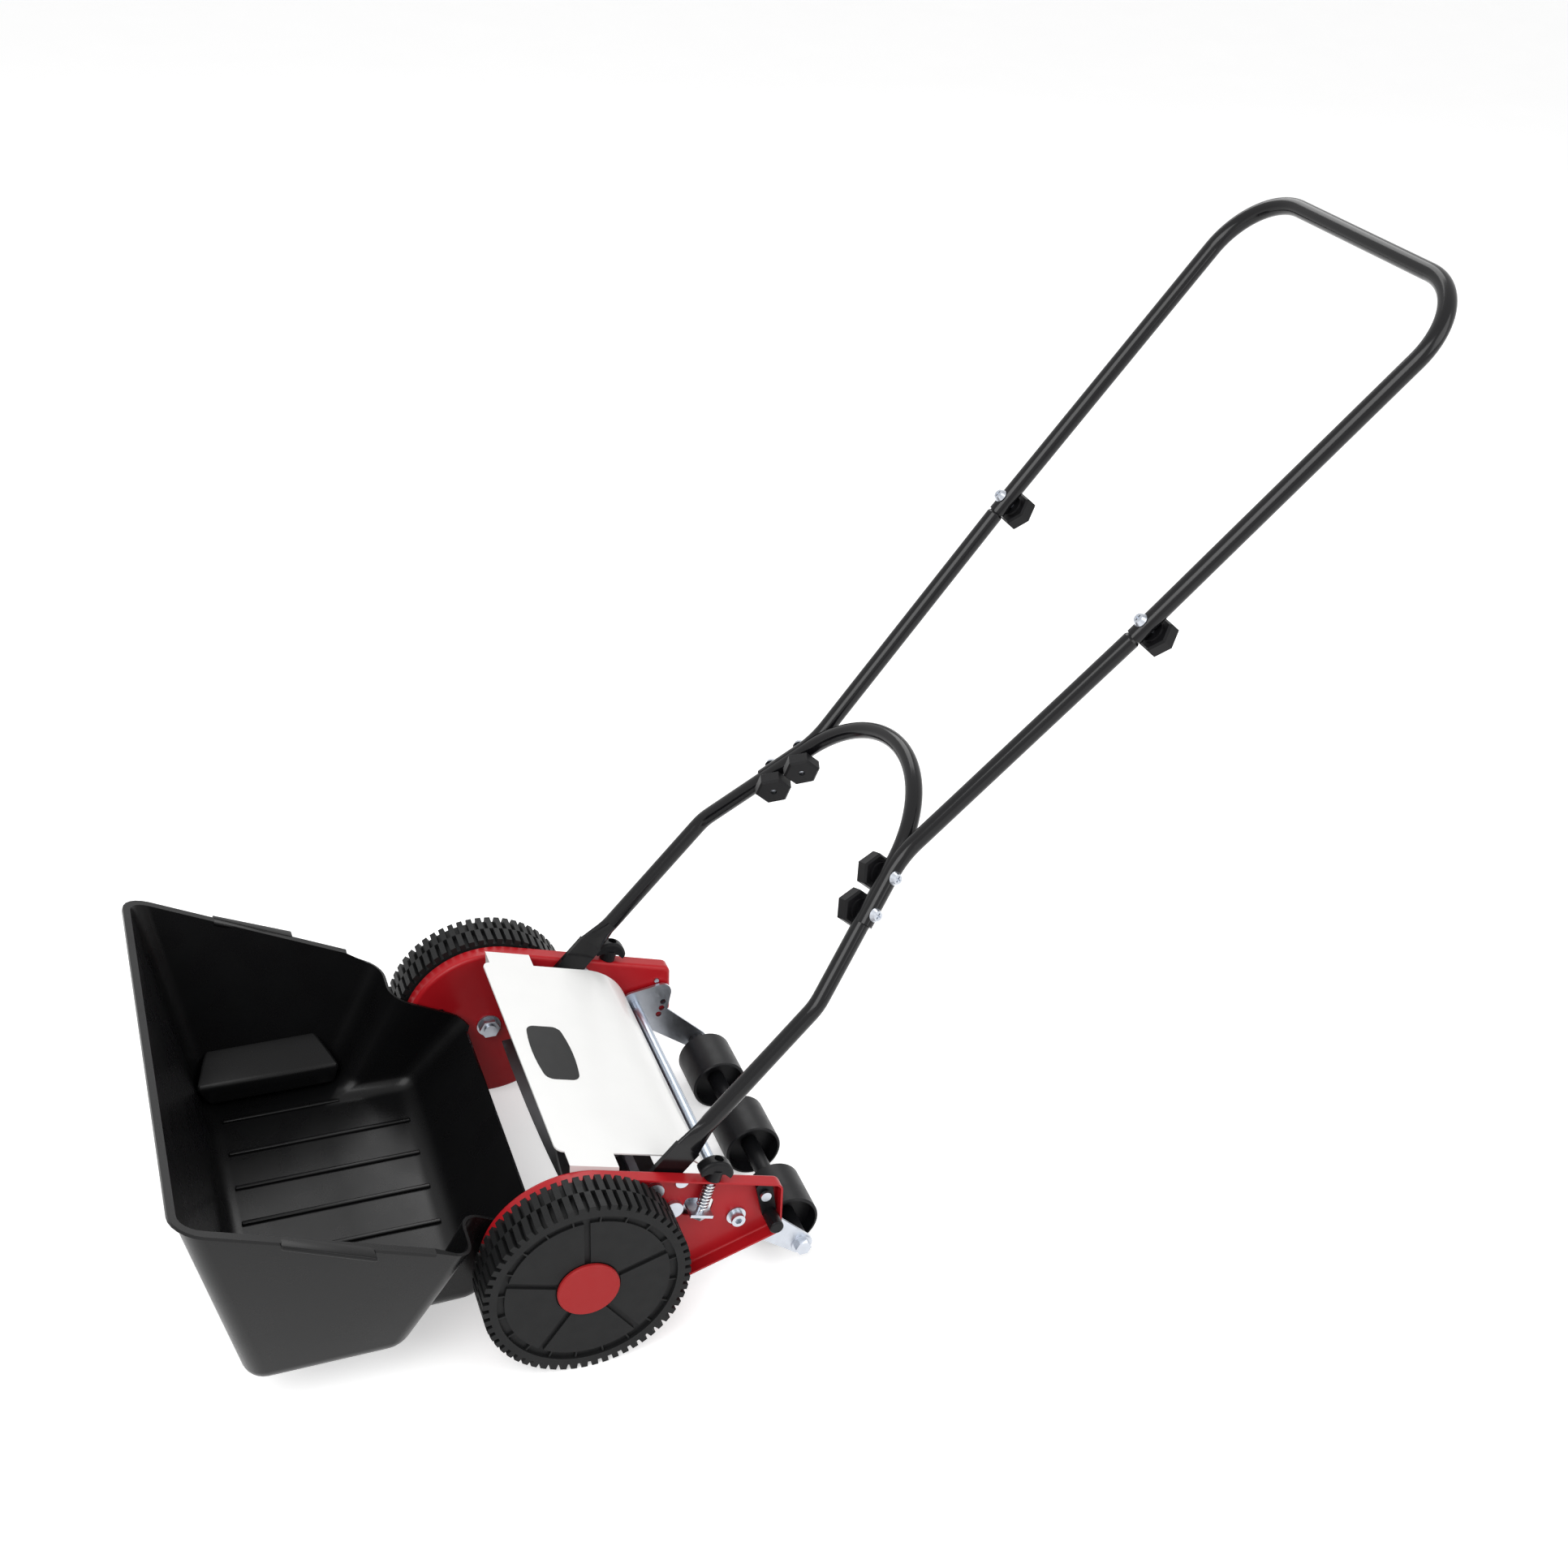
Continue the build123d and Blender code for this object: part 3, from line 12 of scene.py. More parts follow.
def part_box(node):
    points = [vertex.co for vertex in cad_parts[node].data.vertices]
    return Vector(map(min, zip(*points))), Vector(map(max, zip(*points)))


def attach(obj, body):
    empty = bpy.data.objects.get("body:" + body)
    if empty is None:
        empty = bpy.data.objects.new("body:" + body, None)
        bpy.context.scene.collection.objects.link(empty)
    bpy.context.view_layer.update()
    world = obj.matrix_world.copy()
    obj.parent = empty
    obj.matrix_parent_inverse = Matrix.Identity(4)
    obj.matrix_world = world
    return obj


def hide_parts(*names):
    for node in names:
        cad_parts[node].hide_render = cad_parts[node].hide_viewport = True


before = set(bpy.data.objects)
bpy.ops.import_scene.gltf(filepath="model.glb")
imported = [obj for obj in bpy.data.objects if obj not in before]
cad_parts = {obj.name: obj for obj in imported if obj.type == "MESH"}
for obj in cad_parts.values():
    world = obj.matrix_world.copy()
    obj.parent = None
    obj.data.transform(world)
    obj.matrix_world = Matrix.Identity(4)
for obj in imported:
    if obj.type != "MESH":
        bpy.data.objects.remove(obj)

LOG = logging.getLogger("mower")
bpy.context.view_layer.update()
AXLE_Y = sum(corner[1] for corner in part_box("wheel_left")) / 2
# Slope of the cover's top and of the adjusting bolts.
TOP_SLOPE = math.radians(17.0)
# An edge that bends by more than this shades as an edge.
SHARP = math.radians(40.0)
# Distance in metres below which two vertices are one.
WELD = 1e-6
# Profile of a bevel with a round section.
ROUND = 0.5
# Nearly all values of a noise lie between these.
NOISE_RANGE = (0.3, 0.7)
# Octaves of a fine grain and of drawn lines.
GRAIN_DETAIL = 4.0
LINE_DETAIL = 2.0
# Roughness of a clear coat, and how a finish's gloss varies.
COAT_ROUGHNESS = 0.08
GLOSS_PATCHES = 2.3
GLOSS_SWING = 0.12


class Side(Enum):
    """The operator's left or right side of the mower."""

    LEFT = 1
    RIGHT = -1

    @property
    def word(self) -> str:
        """The side's name as the nodes spell it."""
        return self.name.lower()


class NodeBoard:
    """A material's node tree with short calls for the nodes that the finishes share."""

    def __init__(self, name: str) -> None:
        """Starts a material.

        Args:
            name: The material's name.
        """
        self.material = bpy.data.materials.new(name)
        self.material.use_nodes = True
        self.tree = self.material.node_tree
        self.shader = self.tree.nodes["Principled BSDF"]
        self.place = self.tree.nodes.new("ShaderNodeTexCoord").outputs["Object"]

    def link(self, source: bpy.types.NodeSocket, target: bpy.types.NodeSocket) -> None:
        """Joins two sockets.

        Args:
            source: The output.
            target: The input.
        """
        self.tree.links.new(source, target)

    def stretched(self, scale: tuple[float, float, float]) -> bpy.types.NodeSocket:
        """Object coordinates drawn out by a scale per axis.

        Args:
            scale: Factor along X, Y and Z.

        Returns:
            The mapped vector.
        """
        mapping = self.tree.nodes.new("ShaderNodeMapping")
        mapping.inputs["Scale"].default_value = scale
        self.link(self.place, mapping.inputs["Vector"])
        return mapping.outputs["Vector"]

    def noise(
        self, scale: float, detail: float = 3.0, place: bpy.types.NodeSocket | None = None
    ) -> bpy.types.NodeSocket:
        """Noise value over the surface.

        Args:
            scale: Grains per metre.
            detail: Octaves.
            place: Vector to read, or the object's own coordinates.

        Returns:
            The noise's factor.
        """
        node = self.tree.nodes.new("ShaderNodeTexNoise")
        node.inputs["Scale"].default_value = scale
        node.inputs["Detail"].default_value = detail
        self.link(place or self.place, node.inputs["Vector"])
        return node.outputs["Fac"]

    def cells(self, scale: float) -> bpy.types.NodeSocket:
        """Distance to the nearest cell of a spark-eroded grain.

        Args:
            scale: Cells per metre.

        Returns:
            The distance.
        """
        node = self.tree.nodes.new("ShaderNodeTexVoronoi")
        node.inputs["Scale"].default_value = scale
        self.link(self.place, node.inputs["Vector"])
        return node.outputs["Distance"]

    def spread(self, value: bpy.types.NodeSocket, low: float, high: float) -> bpy.types.NodeSocket:
        """Maps the middle of a noise to a range.

        Args:
            value: Noise between 0 and 1.
            low: Result at the low end of the noise's range.
            high: Result at its high end.

        Returns:
            The mapped value.
        """
        node = self.tree.nodes.new("ShaderNodeMapRange")
        node.inputs["From Min"].default_value, node.inputs["From Max"].default_value = NOISE_RANGE
        node.inputs["To Min"].default_value = low
        node.inputs["To Max"].default_value = high
        self.link(value, node.inputs["Value"])
        return node.outputs["Result"]

    def tint(self, value: bpy.types.NodeSocket, low: tuple, high: tuple) -> bpy.types.NodeSocket:
        """Colour between two tones.

        Args:
            value: Factor from 0 to 1.
            low: Tone at 0.
            high: Tone at 1.

        Returns:
            The mixed colour.
        """
        node = self.tree.nodes.new("ShaderNodeMix")
        node.data_type = "RGBA"
        sockets = {s.identifier: s for s in node.inputs}
        sockets["A_Color"].default_value = (*low, 1.0)
        sockets["B_Color"].default_value = (*high, 1.0)
        self.link(value, sockets["Factor_Float"])
        return {s.identifier: s for s in node.outputs}["Result_Color"]

    def bump(self, height: bpy.types.NodeSocket, depth: float, strength: float) -> None:
        """Turns a height into the surface's normal.

        Args:
            height: Height between 0 and 1.
            depth: Real depth in metres.
            strength: Share of the effect.
        """
        node = self.tree.nodes.new("ShaderNodeBump")
        node.inputs["Distance"].default_value = depth
        node.inputs["Strength"].default_value = strength
        self.link(height, node.inputs["Height"])
        self.link(node.outputs["Normal"], self.shader.inputs["Normal"])


def shade(colour: tuple, factor: float) -> tuple:
    """A colour made lighter or darker.

    Args:
        colour: Linear red, green and blue.
        factor: Multiplier.

    Returns:
        The new colour.
    """
    return tuple(min(1.0, c * factor) for c in colour)


@dataclass(frozen=True)
class Finish:
    """A surface: its tone, gloss, grain and unevenness."""

    name: str
    colour: tuple[float, float, float]
    roughness: float
    metallic: float = 0.0
    coat: float = 0.0
    uneven: float = 0.08
    patches: float = 40.0
    grain: float = 900.0
    depth: float = 0.00005
    strength: float = 0.3
    specular: float = 0.5

    def board(self) -> NodeBoard:
        """Starts the material with the finish's fixed values.

        Returns:
            The board to go on with.
        """
        board = NodeBoard(self.name)
        board.shader.inputs["Metallic"].default_value = self.metallic
        board.shader.inputs["Coat Weight"].default_value = self.coat
        board.shader.inputs["Coat Roughness"].default_value = COAT_ROUGHNESS
        board.shader.inputs["Specular IOR Level"].default_value = self.specular
        return board

    def material(self) -> bpy.types.Material:
        """Builds the material.

        Returns:
            A material with uneven tone and gloss and a fine grain.
        """
        board = self.board()
        patch = board.noise(self.patches)
        dark, light = shade(self.colour, 1 - self.uneven), shade(self.colour, 1 + self.uneven)
        board.link(board.tint(patch, dark, light), board.shader.inputs["Base Color"])
        cloud = board.noise(self.patches * GLOSS_PATCHES)
        bright, dull = self.roughness * (1 - GLOSS_SWING), self.roughness * (1 + GLOSS_SWING)
        board.link(board.spread(cloud, bright, dull), board.shader.inputs["Roughness"])
        self.surface(board)
        return board.material

    def surface(self, board: NodeBoard) -> None:
        """Adds the grain as a bump.

        Args:
            board: The material's board.
        """
        board.bump(board.noise(self.grain, GRAIN_DETAIL), self.depth, self.strength)


@dataclass(frozen=True)
class MouldedFinish(Finish):
    """Plastic with a spark-eroded mould grain."""

    cell: float = 1400.0

    def surface(self, board: NodeBoard) -> None:
        """Adds the mould's cells as a bump.

        Args:
            board: The material's board.
        """
        board.bump(board.cells(self.cell), self.depth, self.strength)


@dataclass(frozen=True)
class DrawnFinish(Finish):
    """Metal with fine lines along one axis."""

    stretch: tuple[float, float, float] = (0.04, 1.0, 1.0)

    def surface(self, board: NodeBoard) -> None:
        """Adds the drawn lines as a bump.

        Args:
            board: The material's board.
        """
        lines = board.noise(self.grain, LINE_DETAIL, board.stretched(self.stretch))
        board.bump(lines, self.depth, self.strength)


class Finishes(Enum):
    """Every finish on the mower."""

    RED_PAINT = Finish(
        "red_powder_coat", (0.40, 0.008, 0.013), 0.36, coat=0.06, grain=700.0, depth=0.00006,
        specular=0.22,
    )
    WHITE_PAINT = Finish(
        "white_enamel", (0.82, 0.82, 0.81), 0.34, coat=0.25, uneven=0.02, grain=60.0, depth=0.0004
    )
    TUBE_PAINT = Finish(
        "black_gloss_paint", (0.004, 0.004, 0.0048), 0.17, uneven=0.2, grain=600.0, strength=0.1,
        specular=0.3,
    )
    WHEEL_PLASTIC = MouldedFinish(
        "wheel_moulding", (0.010, 0.0103, 0.0106), 0.5, uneven=0.15, specular=0.16
    )
    DRUM_PLASTIC = MouldedFinish(
        "roller_moulding", (0.006, 0.006, 0.007), 0.4, uneven=0.15, specular=0.18
    )
    KNOB_PLASTIC = MouldedFinish(
        "knob_moulding", (0.005, 0.005, 0.0058), 0.42, uneven=0.15, specular=0.18
    )
    BIN_PLASTIC = MouldedFinish(
        "catcher_moulding", (0.0042, 0.0042, 0.0045), 0.28, uneven=0.2, patches=14.0, cell=1100.0,
        depth=0.00006, strength=0.15, specular=0.2,
    )
    CAP_PLASTIC = MouldedFinish(
        "red_cap_moulding", (0.34, 0.016, 0.017), 0.45, uneven=0.05, strength=0.2, specular=0.2
    )
    ZINC = Finish(
        "bright_zinc", (0.52, 0.55, 0.60), 0.32, metallic=1.0, uneven=0.18, patches=120.0,
        grain=1500.0, depth=0.00003,
    )
    ZINC_ROD = Finish(
        "drawn_zinc_rod", (0.42, 0.47, 0.54), 0.3, metallic=1.0, uneven=0.06, grain=300.0,
        depth=0.00001, strength=0.03,
    )
    SPRING_STEEL = Finish(
        "spring_wire", (0.66, 0.67, 0.68), 0.22, metallic=1.0, grain=1800.0, depth=0.00002
    )
    BLADE_STEEL = DrawnFinish(
        "ground_blade_steel", (0.10, 0.10, 0.105), 0.38, metallic=1.0, grain=1600.0
    )
    GEAR_STEEL = Finish("sintered_steel", (0.16, 0.16, 0.17), 0.45, metallic=1.0, grain=2200.0)
    LABEL_FILM = Finish(
        "label_film", (0.006, 0.0062, 0.0065), 0.36, uneven=0.1, grain=300.0, specular=0.2
    )


FLOOR_FINISH = Finish(
    "pale_floor", (0.86, 0.86, 0.86), 0.8, uneven=0.01, patches=3.0, specular=0.1
)
NODE_FINISHES: dict[Finishes, tuple[str, ...]] = {
    Finishes.RED_PAINT: ("side_plate",),
    Finishes.WHITE_PAINT: ("top_cover",),
    Finishes.TUBE_PAINT: ("lower_handle", "middle_tube", "upper_handle"),
    Finishes.WHEEL_PLASTIC: ("wheel_left", "wheel_right"),
    Finishes.DRUM_PLASTIC: ("roller_drum", "roller_spacers"),
    Finishes.KNOB_PLASTIC: (
        "wing_knob", "lower_knob", "middle_knob", "upper_knob", "height_lever", "reel_bearings",
    ),
    Finishes.BIN_PLASTIC: ("catcher",),
    Finishes.CAP_PLASTIC: ("hub_cap",),
    Finishes.ZINC_ROD: ("tie_rod", "roller_axle"),
    Finishes.BLADE_STEEL: ("reel_blades", "bed_knife"),
    Finishes.GEAR_STEEL: ("pinion", "reel_shaft", "reel_spiders", "drive_pawls"),
    Finishes.ZINC: (
        "tie_rod_bolts", "wheel_axles", "axle_nuts", "axle_clips", "bed_knife_carrier",
        "knife_screws", "bed_knife_pivots", "adjusting_bolts", "roller_arm", "roller_bolts",
        "lever_screws", "handle_pivot_bolts", "handle_stop_pins", "middle_joint_bolts",
        "upper_joint_bolts", "cover_screws", "catcher_pins", "adjusting_spring",
    ),
}


class Workshop:
    """Keeps the built materials and turns a bmesh into a finished piece."""

    def __init__(self) -> None:
        """Starts with no materials."""
        self.materials: dict[Finishes, bpy.types.Material] = {}

    def finish(self, finish: Finishes) -> bpy.types.Material:
        """The material of a finish, made on first use.

        Args:
            finish: The finish wanted.

        Returns:
            Its material.
        """
        if finish not in self.materials:
            self.materials[finish] = finish.value.material()
        return self.materials[finish]

    def piece(
        self, name: str, mesh: bmesh.types.BMesh, finish: Finishes, body: str, slot: str,
        smooth: bool = True,
    ) -> bpy.types.Object:
        """Makes an object of a bmesh and hangs it on a body.

        Args:
            name: The piece's name.
            mesh: Its form, already in place.
            finish: Its finish.
            body: The CAD body that it moves with.
            slot: The record's material slot; not used.
            smooth: Whether its faces shade as one round surface.

        Returns:
            The new object.
        """
        bmesh.ops.recalc_face_normals(mesh, faces=mesh.faces)
        data = bpy.data.meshes.new(name)
        mesh.to_mesh(data)
        mesh.free()
        for polygon in data.polygons:
            polygon.use_smooth = smooth
        data.set_sharp_from_angle(angle=SHARP)
        piece = bpy.data.objects.new(name, data)
        bpy.context.scene.collection.objects.link(piece)
        data.materials.append(self.finish(finish))
        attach(piece, body)
        LOG.info("made %s on %s", name, body)
        return piece

    def dress_nodes(self) -> None:
        """Gives every CAD node its finish."""
        for finish, starts in NODE_FINISHES.items():
            for name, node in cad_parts.items():
                if any(name == start or name.startswith(start + "_") for start in starts):
                    node.data.materials.clear()
                    node.data.materials.append(self.finish(finish))
                    LOG.info("dressed %s in %s", name, finish.value.name)


@dataclass
class AdjustingSpring:
    """Compression spring round a bed knife's adjusting bolt."""

    side: Side
    wire: float = 0.0012
    radius: float = 0.0040
    turns: float = 7.25
    flange_x: float = 0.1428
    along: float = 0.1039514
    height: float = 0.1174173
    low: float = -0.02985
    high: float = -0.00175
    rings: int = 28
    ring_sides: int = 10
    bend_steps: int = 6
    bend_wires: int = 2
    stand_wires: int = 3

    def frame(self) -> Matrix:
        """The bolt's own frame, its Z up the bolt.

        Returns:
            The frame, mirrored on the right side.
        """
        turn = Matrix.Rotation(-TOP_SLOPE, 4, "X")
        place = Matrix.Translation((self.flange_x, AXLE_Y + self.along, self.height))
        return Matrix.Diagonal((self.side.value, 1, 1, 1)) @ place @ turn

    def stand_end(
        self, mesh: bmesh.types.BMesh, rim: list, point: Vector, ahead: Vector, up: Vector
    ) -> list:
        """Turns a wire end square to its seat and carries it on by one wire.

        Args:
            mesh: The spring's mesh.
            rim: Edges of the open end.
            point: Middle of the open end.
            ahead: Direction of the wire there.
            up: Direction of the seat.

        Returns:
            The edges of the new open end.
        """
        bend = self.bend_wires * self.wire
        axis = ahead.cross(up).normalized()
        centre = point + axis.cross(ahead).normalized() * bend
        turned = bmesh.ops.spin(
            mesh, geom=rim, cent=centre, axis=axis, dvec=(0, 0, 0), angle=ahead.angle(up),
            steps=self.bend_steps,
        )
        edge = [e for e in turned["geom_last"] if isinstance(e, bmesh.types.BMEdge)]
        grown = bmesh.ops.extrude_edge_only(mesh, edges=edge)
        verts = [v for v in grown["geom"] if isinstance(v, bmesh.types.BMVert)]
        bmesh.ops.translate(mesh, verts=verts, vec=up * self.wire)
        return [e for e in grown["geom"] if isinstance(e, bmesh.types.BMEdge) and e.is_boundary]

    def build(self, shop: Workshop) -> bpy.types.Object:
        """Winds the spring and puts it in place of its plain node.

        Args:
            shop: The workshop that finishes it.

        Returns:
            The spring.
        """
        stand = self.stand_wires * self.wire
        low, high = self.low + stand, self.high - stand
        steps = round(self.rings * self.turns)
        rise = (high - low) / steps
        pitch = math.atan2((high - low) / self.turns, 2 * math.pi * self.radius)
        mesh = bmesh.new()
        tilt = Matrix.Rotation(math.pi / 2 + pitch, 4, "X")
        ring = bmesh.ops.create_circle(
            mesh, cap_ends=False, segments=self.ring_sides, radius=self.wire / 2,
            matrix=Matrix.Translation((self.radius, 0, low)) @ tilt,
        )
        first = list({e for v in ring["verts"] for e in v.link_edges})
        wound = bmesh.ops.spin(
            mesh, geom=first, cent=(0, 0, 0), axis=(0, 0, 1), dvec=(0, 0, rise),
            angle=2 * math.pi * self.turns, steps=steps,
        )
        last = [e for e in wound["geom_last"] if isinstance(e, bmesh.types.BMEdge)]
        ahead = Vector((0, math.cos(pitch), math.sin(pitch)))
        end_turn = Matrix.Rotation(2 * math.pi * self.turns, 3, "Z")
        up = Vector((0, 0, 1))
        start = [e for e in first if e.is_valid]
        lower = self.stand_end(mesh, start, Vector((self.radius, 0, low)), -ahead, -up)
        end = end_turn @ Vector((self.radius, 0, 0)) + up * high
        upper = self.stand_end(mesh, last, end, end_turn @ ahead, up)
        bmesh.ops.contextual_create(mesh, geom=lower)
        bmesh.ops.contextual_create(mesh, geom=upper)
        bmesh.ops.remove_doubles(mesh, verts=mesh.verts, dist=WELD)
        bmesh.ops.transform(mesh, matrix=self.frame(), verts=mesh.verts)
        name = "wound_spring_" + self.side.word
        piece = shop.piece(name, mesh, Finishes.SPRING_STEEL, "chassis", "zinc")
        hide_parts("adjusting_spring_" + self.side.word)
        return piece


@dataclass
class BareLabel:
    """Plain dark film on the cover, with nothing printed on it."""

    middle_x: float = 0.0
    along: float = 0.0218
    height: float = 0.14437
    width: float = 0.068
    depth: float = 0.0262
    thick: float = 0.0003
    corner: float = 0.006
    corner_steps: int = 5
    bow: float = 0.0035
    strips: int = 8

    def build(self, shop: Workshop) -> bpy.types.Object:
        """Cuts the film and lays it on the cover.

        Args:
            shop: The workshop that finishes it.

        Returns:
            The label.
        """
        mesh = bmesh.new()
        bmesh.ops.create_grid(mesh, x_segments=self.strips, y_segments=1, size=0.5)
        bmesh.ops.scale(mesh, vec=(self.width, self.depth, 1), verts=mesh.verts)
        for vert in mesh.verts:
            share = 1 - (2 * vert.co.x / self.width) ** 2
            vert.co.y += math.copysign(self.bow * share, vert.co.y)
        corners = [v for v in mesh.verts if len(v.link_faces) == 1]
        bmesh.ops.bevel(
            mesh, geom=corners, offset=self.corner, offset_type="OFFSET",
            segments=self.corner_steps, profile=ROUND, affect="VERTICES", material=-1,
        )
        bmesh.ops.recalc_face_normals(mesh, faces=mesh.faces)
        bmesh.ops.solidify(mesh, geom=mesh.faces[:], thickness=self.thick)
        place = Matrix.Translation((self.middle_x, AXLE_Y + self.along, self.height))
        turn = Matrix.Rotation(-TOP_SLOPE, 4, "X")
        bmesh.ops.transform(mesh, matrix=place @ turn, verts=mesh.verts)
        return shop.piece(
            "bare_label", mesh, Finishes.LABEL_FILM, "chassis", "black_plastic", smooth=False
        )


@dataclass
class MouldedBin:
    """The grass catcher with the round corners of a moulding.

    Places along Y count from the axle. half, levels, front and rear hold a value for the floor and
    one for the top; mouth and rim hold places along Y with their heights.
    """

    half: tuple[float, float] = (0.163, 0.1966)
    levels: tuple[float, float] = (0.034, 0.230)
    front: tuple[float, float] = (-0.236, -0.272)
    rear: tuple[float, float] = (-0.128, -0.018)
    mouth_half: float = 0.132
    mouth: tuple[tuple[float, float], ...] = ((-0.070, 0.034), (-0.021, 0.087))
    mouth_run: float = 0.050
    rim: tuple[tuple[float, float], ...] = (
        (-0.320, 0.2402), (-0.105, 0.141), (-0.026, 0.098), (0.020, 0.068)
    )
    wall: float = 0.0025
    lip: float = 0.004
    corner: float = 0.0148
    corner_steps: int = 6
    block_steps: int = 3
    least_bend: float = math.radians(12.0)
    level_normal: float = 0.9
    skin_weld: float = 2e-4
    hair: float = 1e-5
    ledge_x: tuple[float, float] = (0.140, 0.1690)
    ledge_y: tuple[float, float] = (-0.229, -0.122)
    ledge_z: tuple[float, float] = (0.060, 0.077)
    tuck: float = 0.006
    rib_pitch: float = 0.041
    rib_count: int = 7
    rib_half: float = 0.002
    rib_rise: float = 0.002
    rib_edge: float = 0.0010
    rib_ramp_gap: float = 0.008
    rib_side_gap: float = 0.010
    pin_at: tuple[float, float] = (-0.045, 0.090)
    hook_x: tuple[float, float] = (0.131, 0.1357)
    hook_half: float = 0.008
    hook_slot_half: float = 0.0034
    hook_foot: float = -0.003
    hook_roof: float = 0.0036
    hook_top: float = 0.011
    hook_edge: float = 0.0008
    grip_y: float = -0.176
    grip_half: float = 0.030
    grip_out: float = 0.010
    grip_thick: float = 0.004
    grip_edge: float = 0.0012

    def wall_at(self, ends: tuple[float, float], height: float) -> float:
        """A drafted wall's place at a height.

        Args:
            ends: Its places at the floor and at the top.
            height: The height.

        Returns:
            The place on the line through both.
        """
        low, high = self.levels
        return ends[0] + (height - low) * (ends[1] - ends[0]) / (high - low)

    def rim_plane(self, part: int) -> tuple[Vector, Vector]:
        """The plane of one straight part of the rim, lower by a wall.

        Args:
            part: The part's number, from the front.

        Returns:
            A point of the plane and its upward normal.
        """
        (y_from, z_from), (y_to, z_to) = self.rim[part], self.rim[part + 1]
        up = Vector((0, z_from - z_to, y_to - y_from)).normalized()
        return Vector((0, AXLE_Y + y_from, z_from)) - up * self.wall, up

    @staticmethod
    def cut(mesh: bmesh.types.BMesh, point: Vector, normal: Vector, clear: bool = False) -> None:
        """Cuts the mesh along a plane.

        Args:
            mesh: The mesh.
            point: A point of the plane.
            normal: The plane's normal.
            clear: Whether to delete what lies on the normal's side.
        """
        geom = mesh.verts[:] + mesh.edges[:] + mesh.faces[:]
        bmesh.ops.bisect_plane(
            mesh, geom=geom, plane_co=point, plane_no=normal, clear_outer=clear
        )

    @staticmethod
    def round_edges(mesh: bmesh.types.BMesh, edges: list, width: float, steps: int) -> None:
        """Rounds edges.

        Args:
            mesh: The mesh.
            edges: The edges to round.
            width: Width of the rounding on each face.
            steps: Facets of the rounding.
        """
        bmesh.ops.bevel(
            mesh, geom=edges, offset=width, offset_type="OFFSET", segments=steps, profile=ROUND,
            affect="EDGES", clamp_overlap=True, material=-1,
        )

    def shell(self) -> bmesh.types.BMesh:
        """Folds the outer skin: a drafted box with a ramped mouth, open on top.

        Returns:
            The skin, its bends still sharp.
        """
        mesh = bmesh.new()
        bmesh.ops.create_cube(mesh, size=2.0)
        for vert in mesh.verts:
            level = 0 if vert.co.z < 0 else 1
            along = self.front[level] if vert.co.y < 0 else self.rear[level]
            across = math.copysign(self.half[level], vert.co.x)
            vert.co = (across, AXLE_Y + along, self.levels[level])
        for place in (-self.mouth_half, self.mouth_half):
            self.cut(mesh, Vector((place, 0, 0)), Vector((1, 0, 0)))
        mesh.normal_update()
        middle = [f for f in mesh.faces if abs(f.calc_center_median().x) < self.wall]
        gate = max(middle, key=lambda face: face.normal.y)
        for along, height in self.mouth:
            grown = bmesh.ops.extrude_face_region(mesh, geom=[gate])
            bmesh.ops.delete(mesh, geom=[gate], context="FACES_ONLY")
            gate = next(g for g in grown["geom"] if isinstance(g, bmesh.types.BMFace))
            for vert in gate.verts:
                if vert.co.z < self.levels[1] / 2:
                    vert.co.y, vert.co.z = AXLE_Y + along, height
                else:
                    vert.co.y += self.mouth_run
        mesh.normal_update()
        lids = [f for f in mesh.faces if f.normal.z > self.level_normal]
        bmesh.ops.delete(mesh, geom=[gate, *lids], context="FACES")
        return mesh

    def turn_lip(self, mesh: bmesh.types.BMesh) -> None:
        """Turns the rim outwards, in front of the rear corners.

        Args:
            mesh: The trimmed skin.
        """
        mesh.normal_update()
        at, up = self.rim_plane(0)
        edge = [
            e for e in mesh.edges
            if e.is_boundary and all(abs((v.co - at).dot(up)) < self.hair for v in e.verts)
        ]
        grown = bmesh.ops.extrude_edge_only(mesh, edges=edge)
        turned = {v for v in grown["geom"] if isinstance(v, bmesh.types.BMVert)}
        for vert in turned:
            base = next(o for e in vert.link_edges for o in e.verts if o not in turned)
            out = Vector((base.normal.x, base.normal.y, 0)).normalized()
            out.z = -out.y * up.y / up.z
            vert.co = base.co + out * self.lip

    @staticmethod
    def block(mesh: bmesh.types.BMesh, low: tuple, high: tuple) -> list:
        """Adds a box between two corners.

        Args:
            mesh: The mesh to add to.
            low: Its least corner, from the axle along Y.
            high: Its greatest corner.

        Returns:
            The box's vertices.
        """
        size = Vector(high) - Vector(low)
        middle = (Vector(high) + Vector(low)) / 2 + Vector((0, AXLE_Y, 0))
        matrix = Matrix.Translation(middle) @ Matrix.Diagonal((*size, 1))
        return bmesh.ops.create_cube(mesh, size=1.0, matrix=matrix)["verts"]

    def soften(self, mesh: bmesh.types.BMesh, verts: list, width: float) -> None:
        """Rounds every edge of a block.

        Args:
            mesh: The mesh.
            verts: The block's vertices.
            width: Width of the rounding.
        """
        edges = list({e for v in verts for e in v.link_edges})
        self.round_edges(mesh, edges, width, self.block_steps)

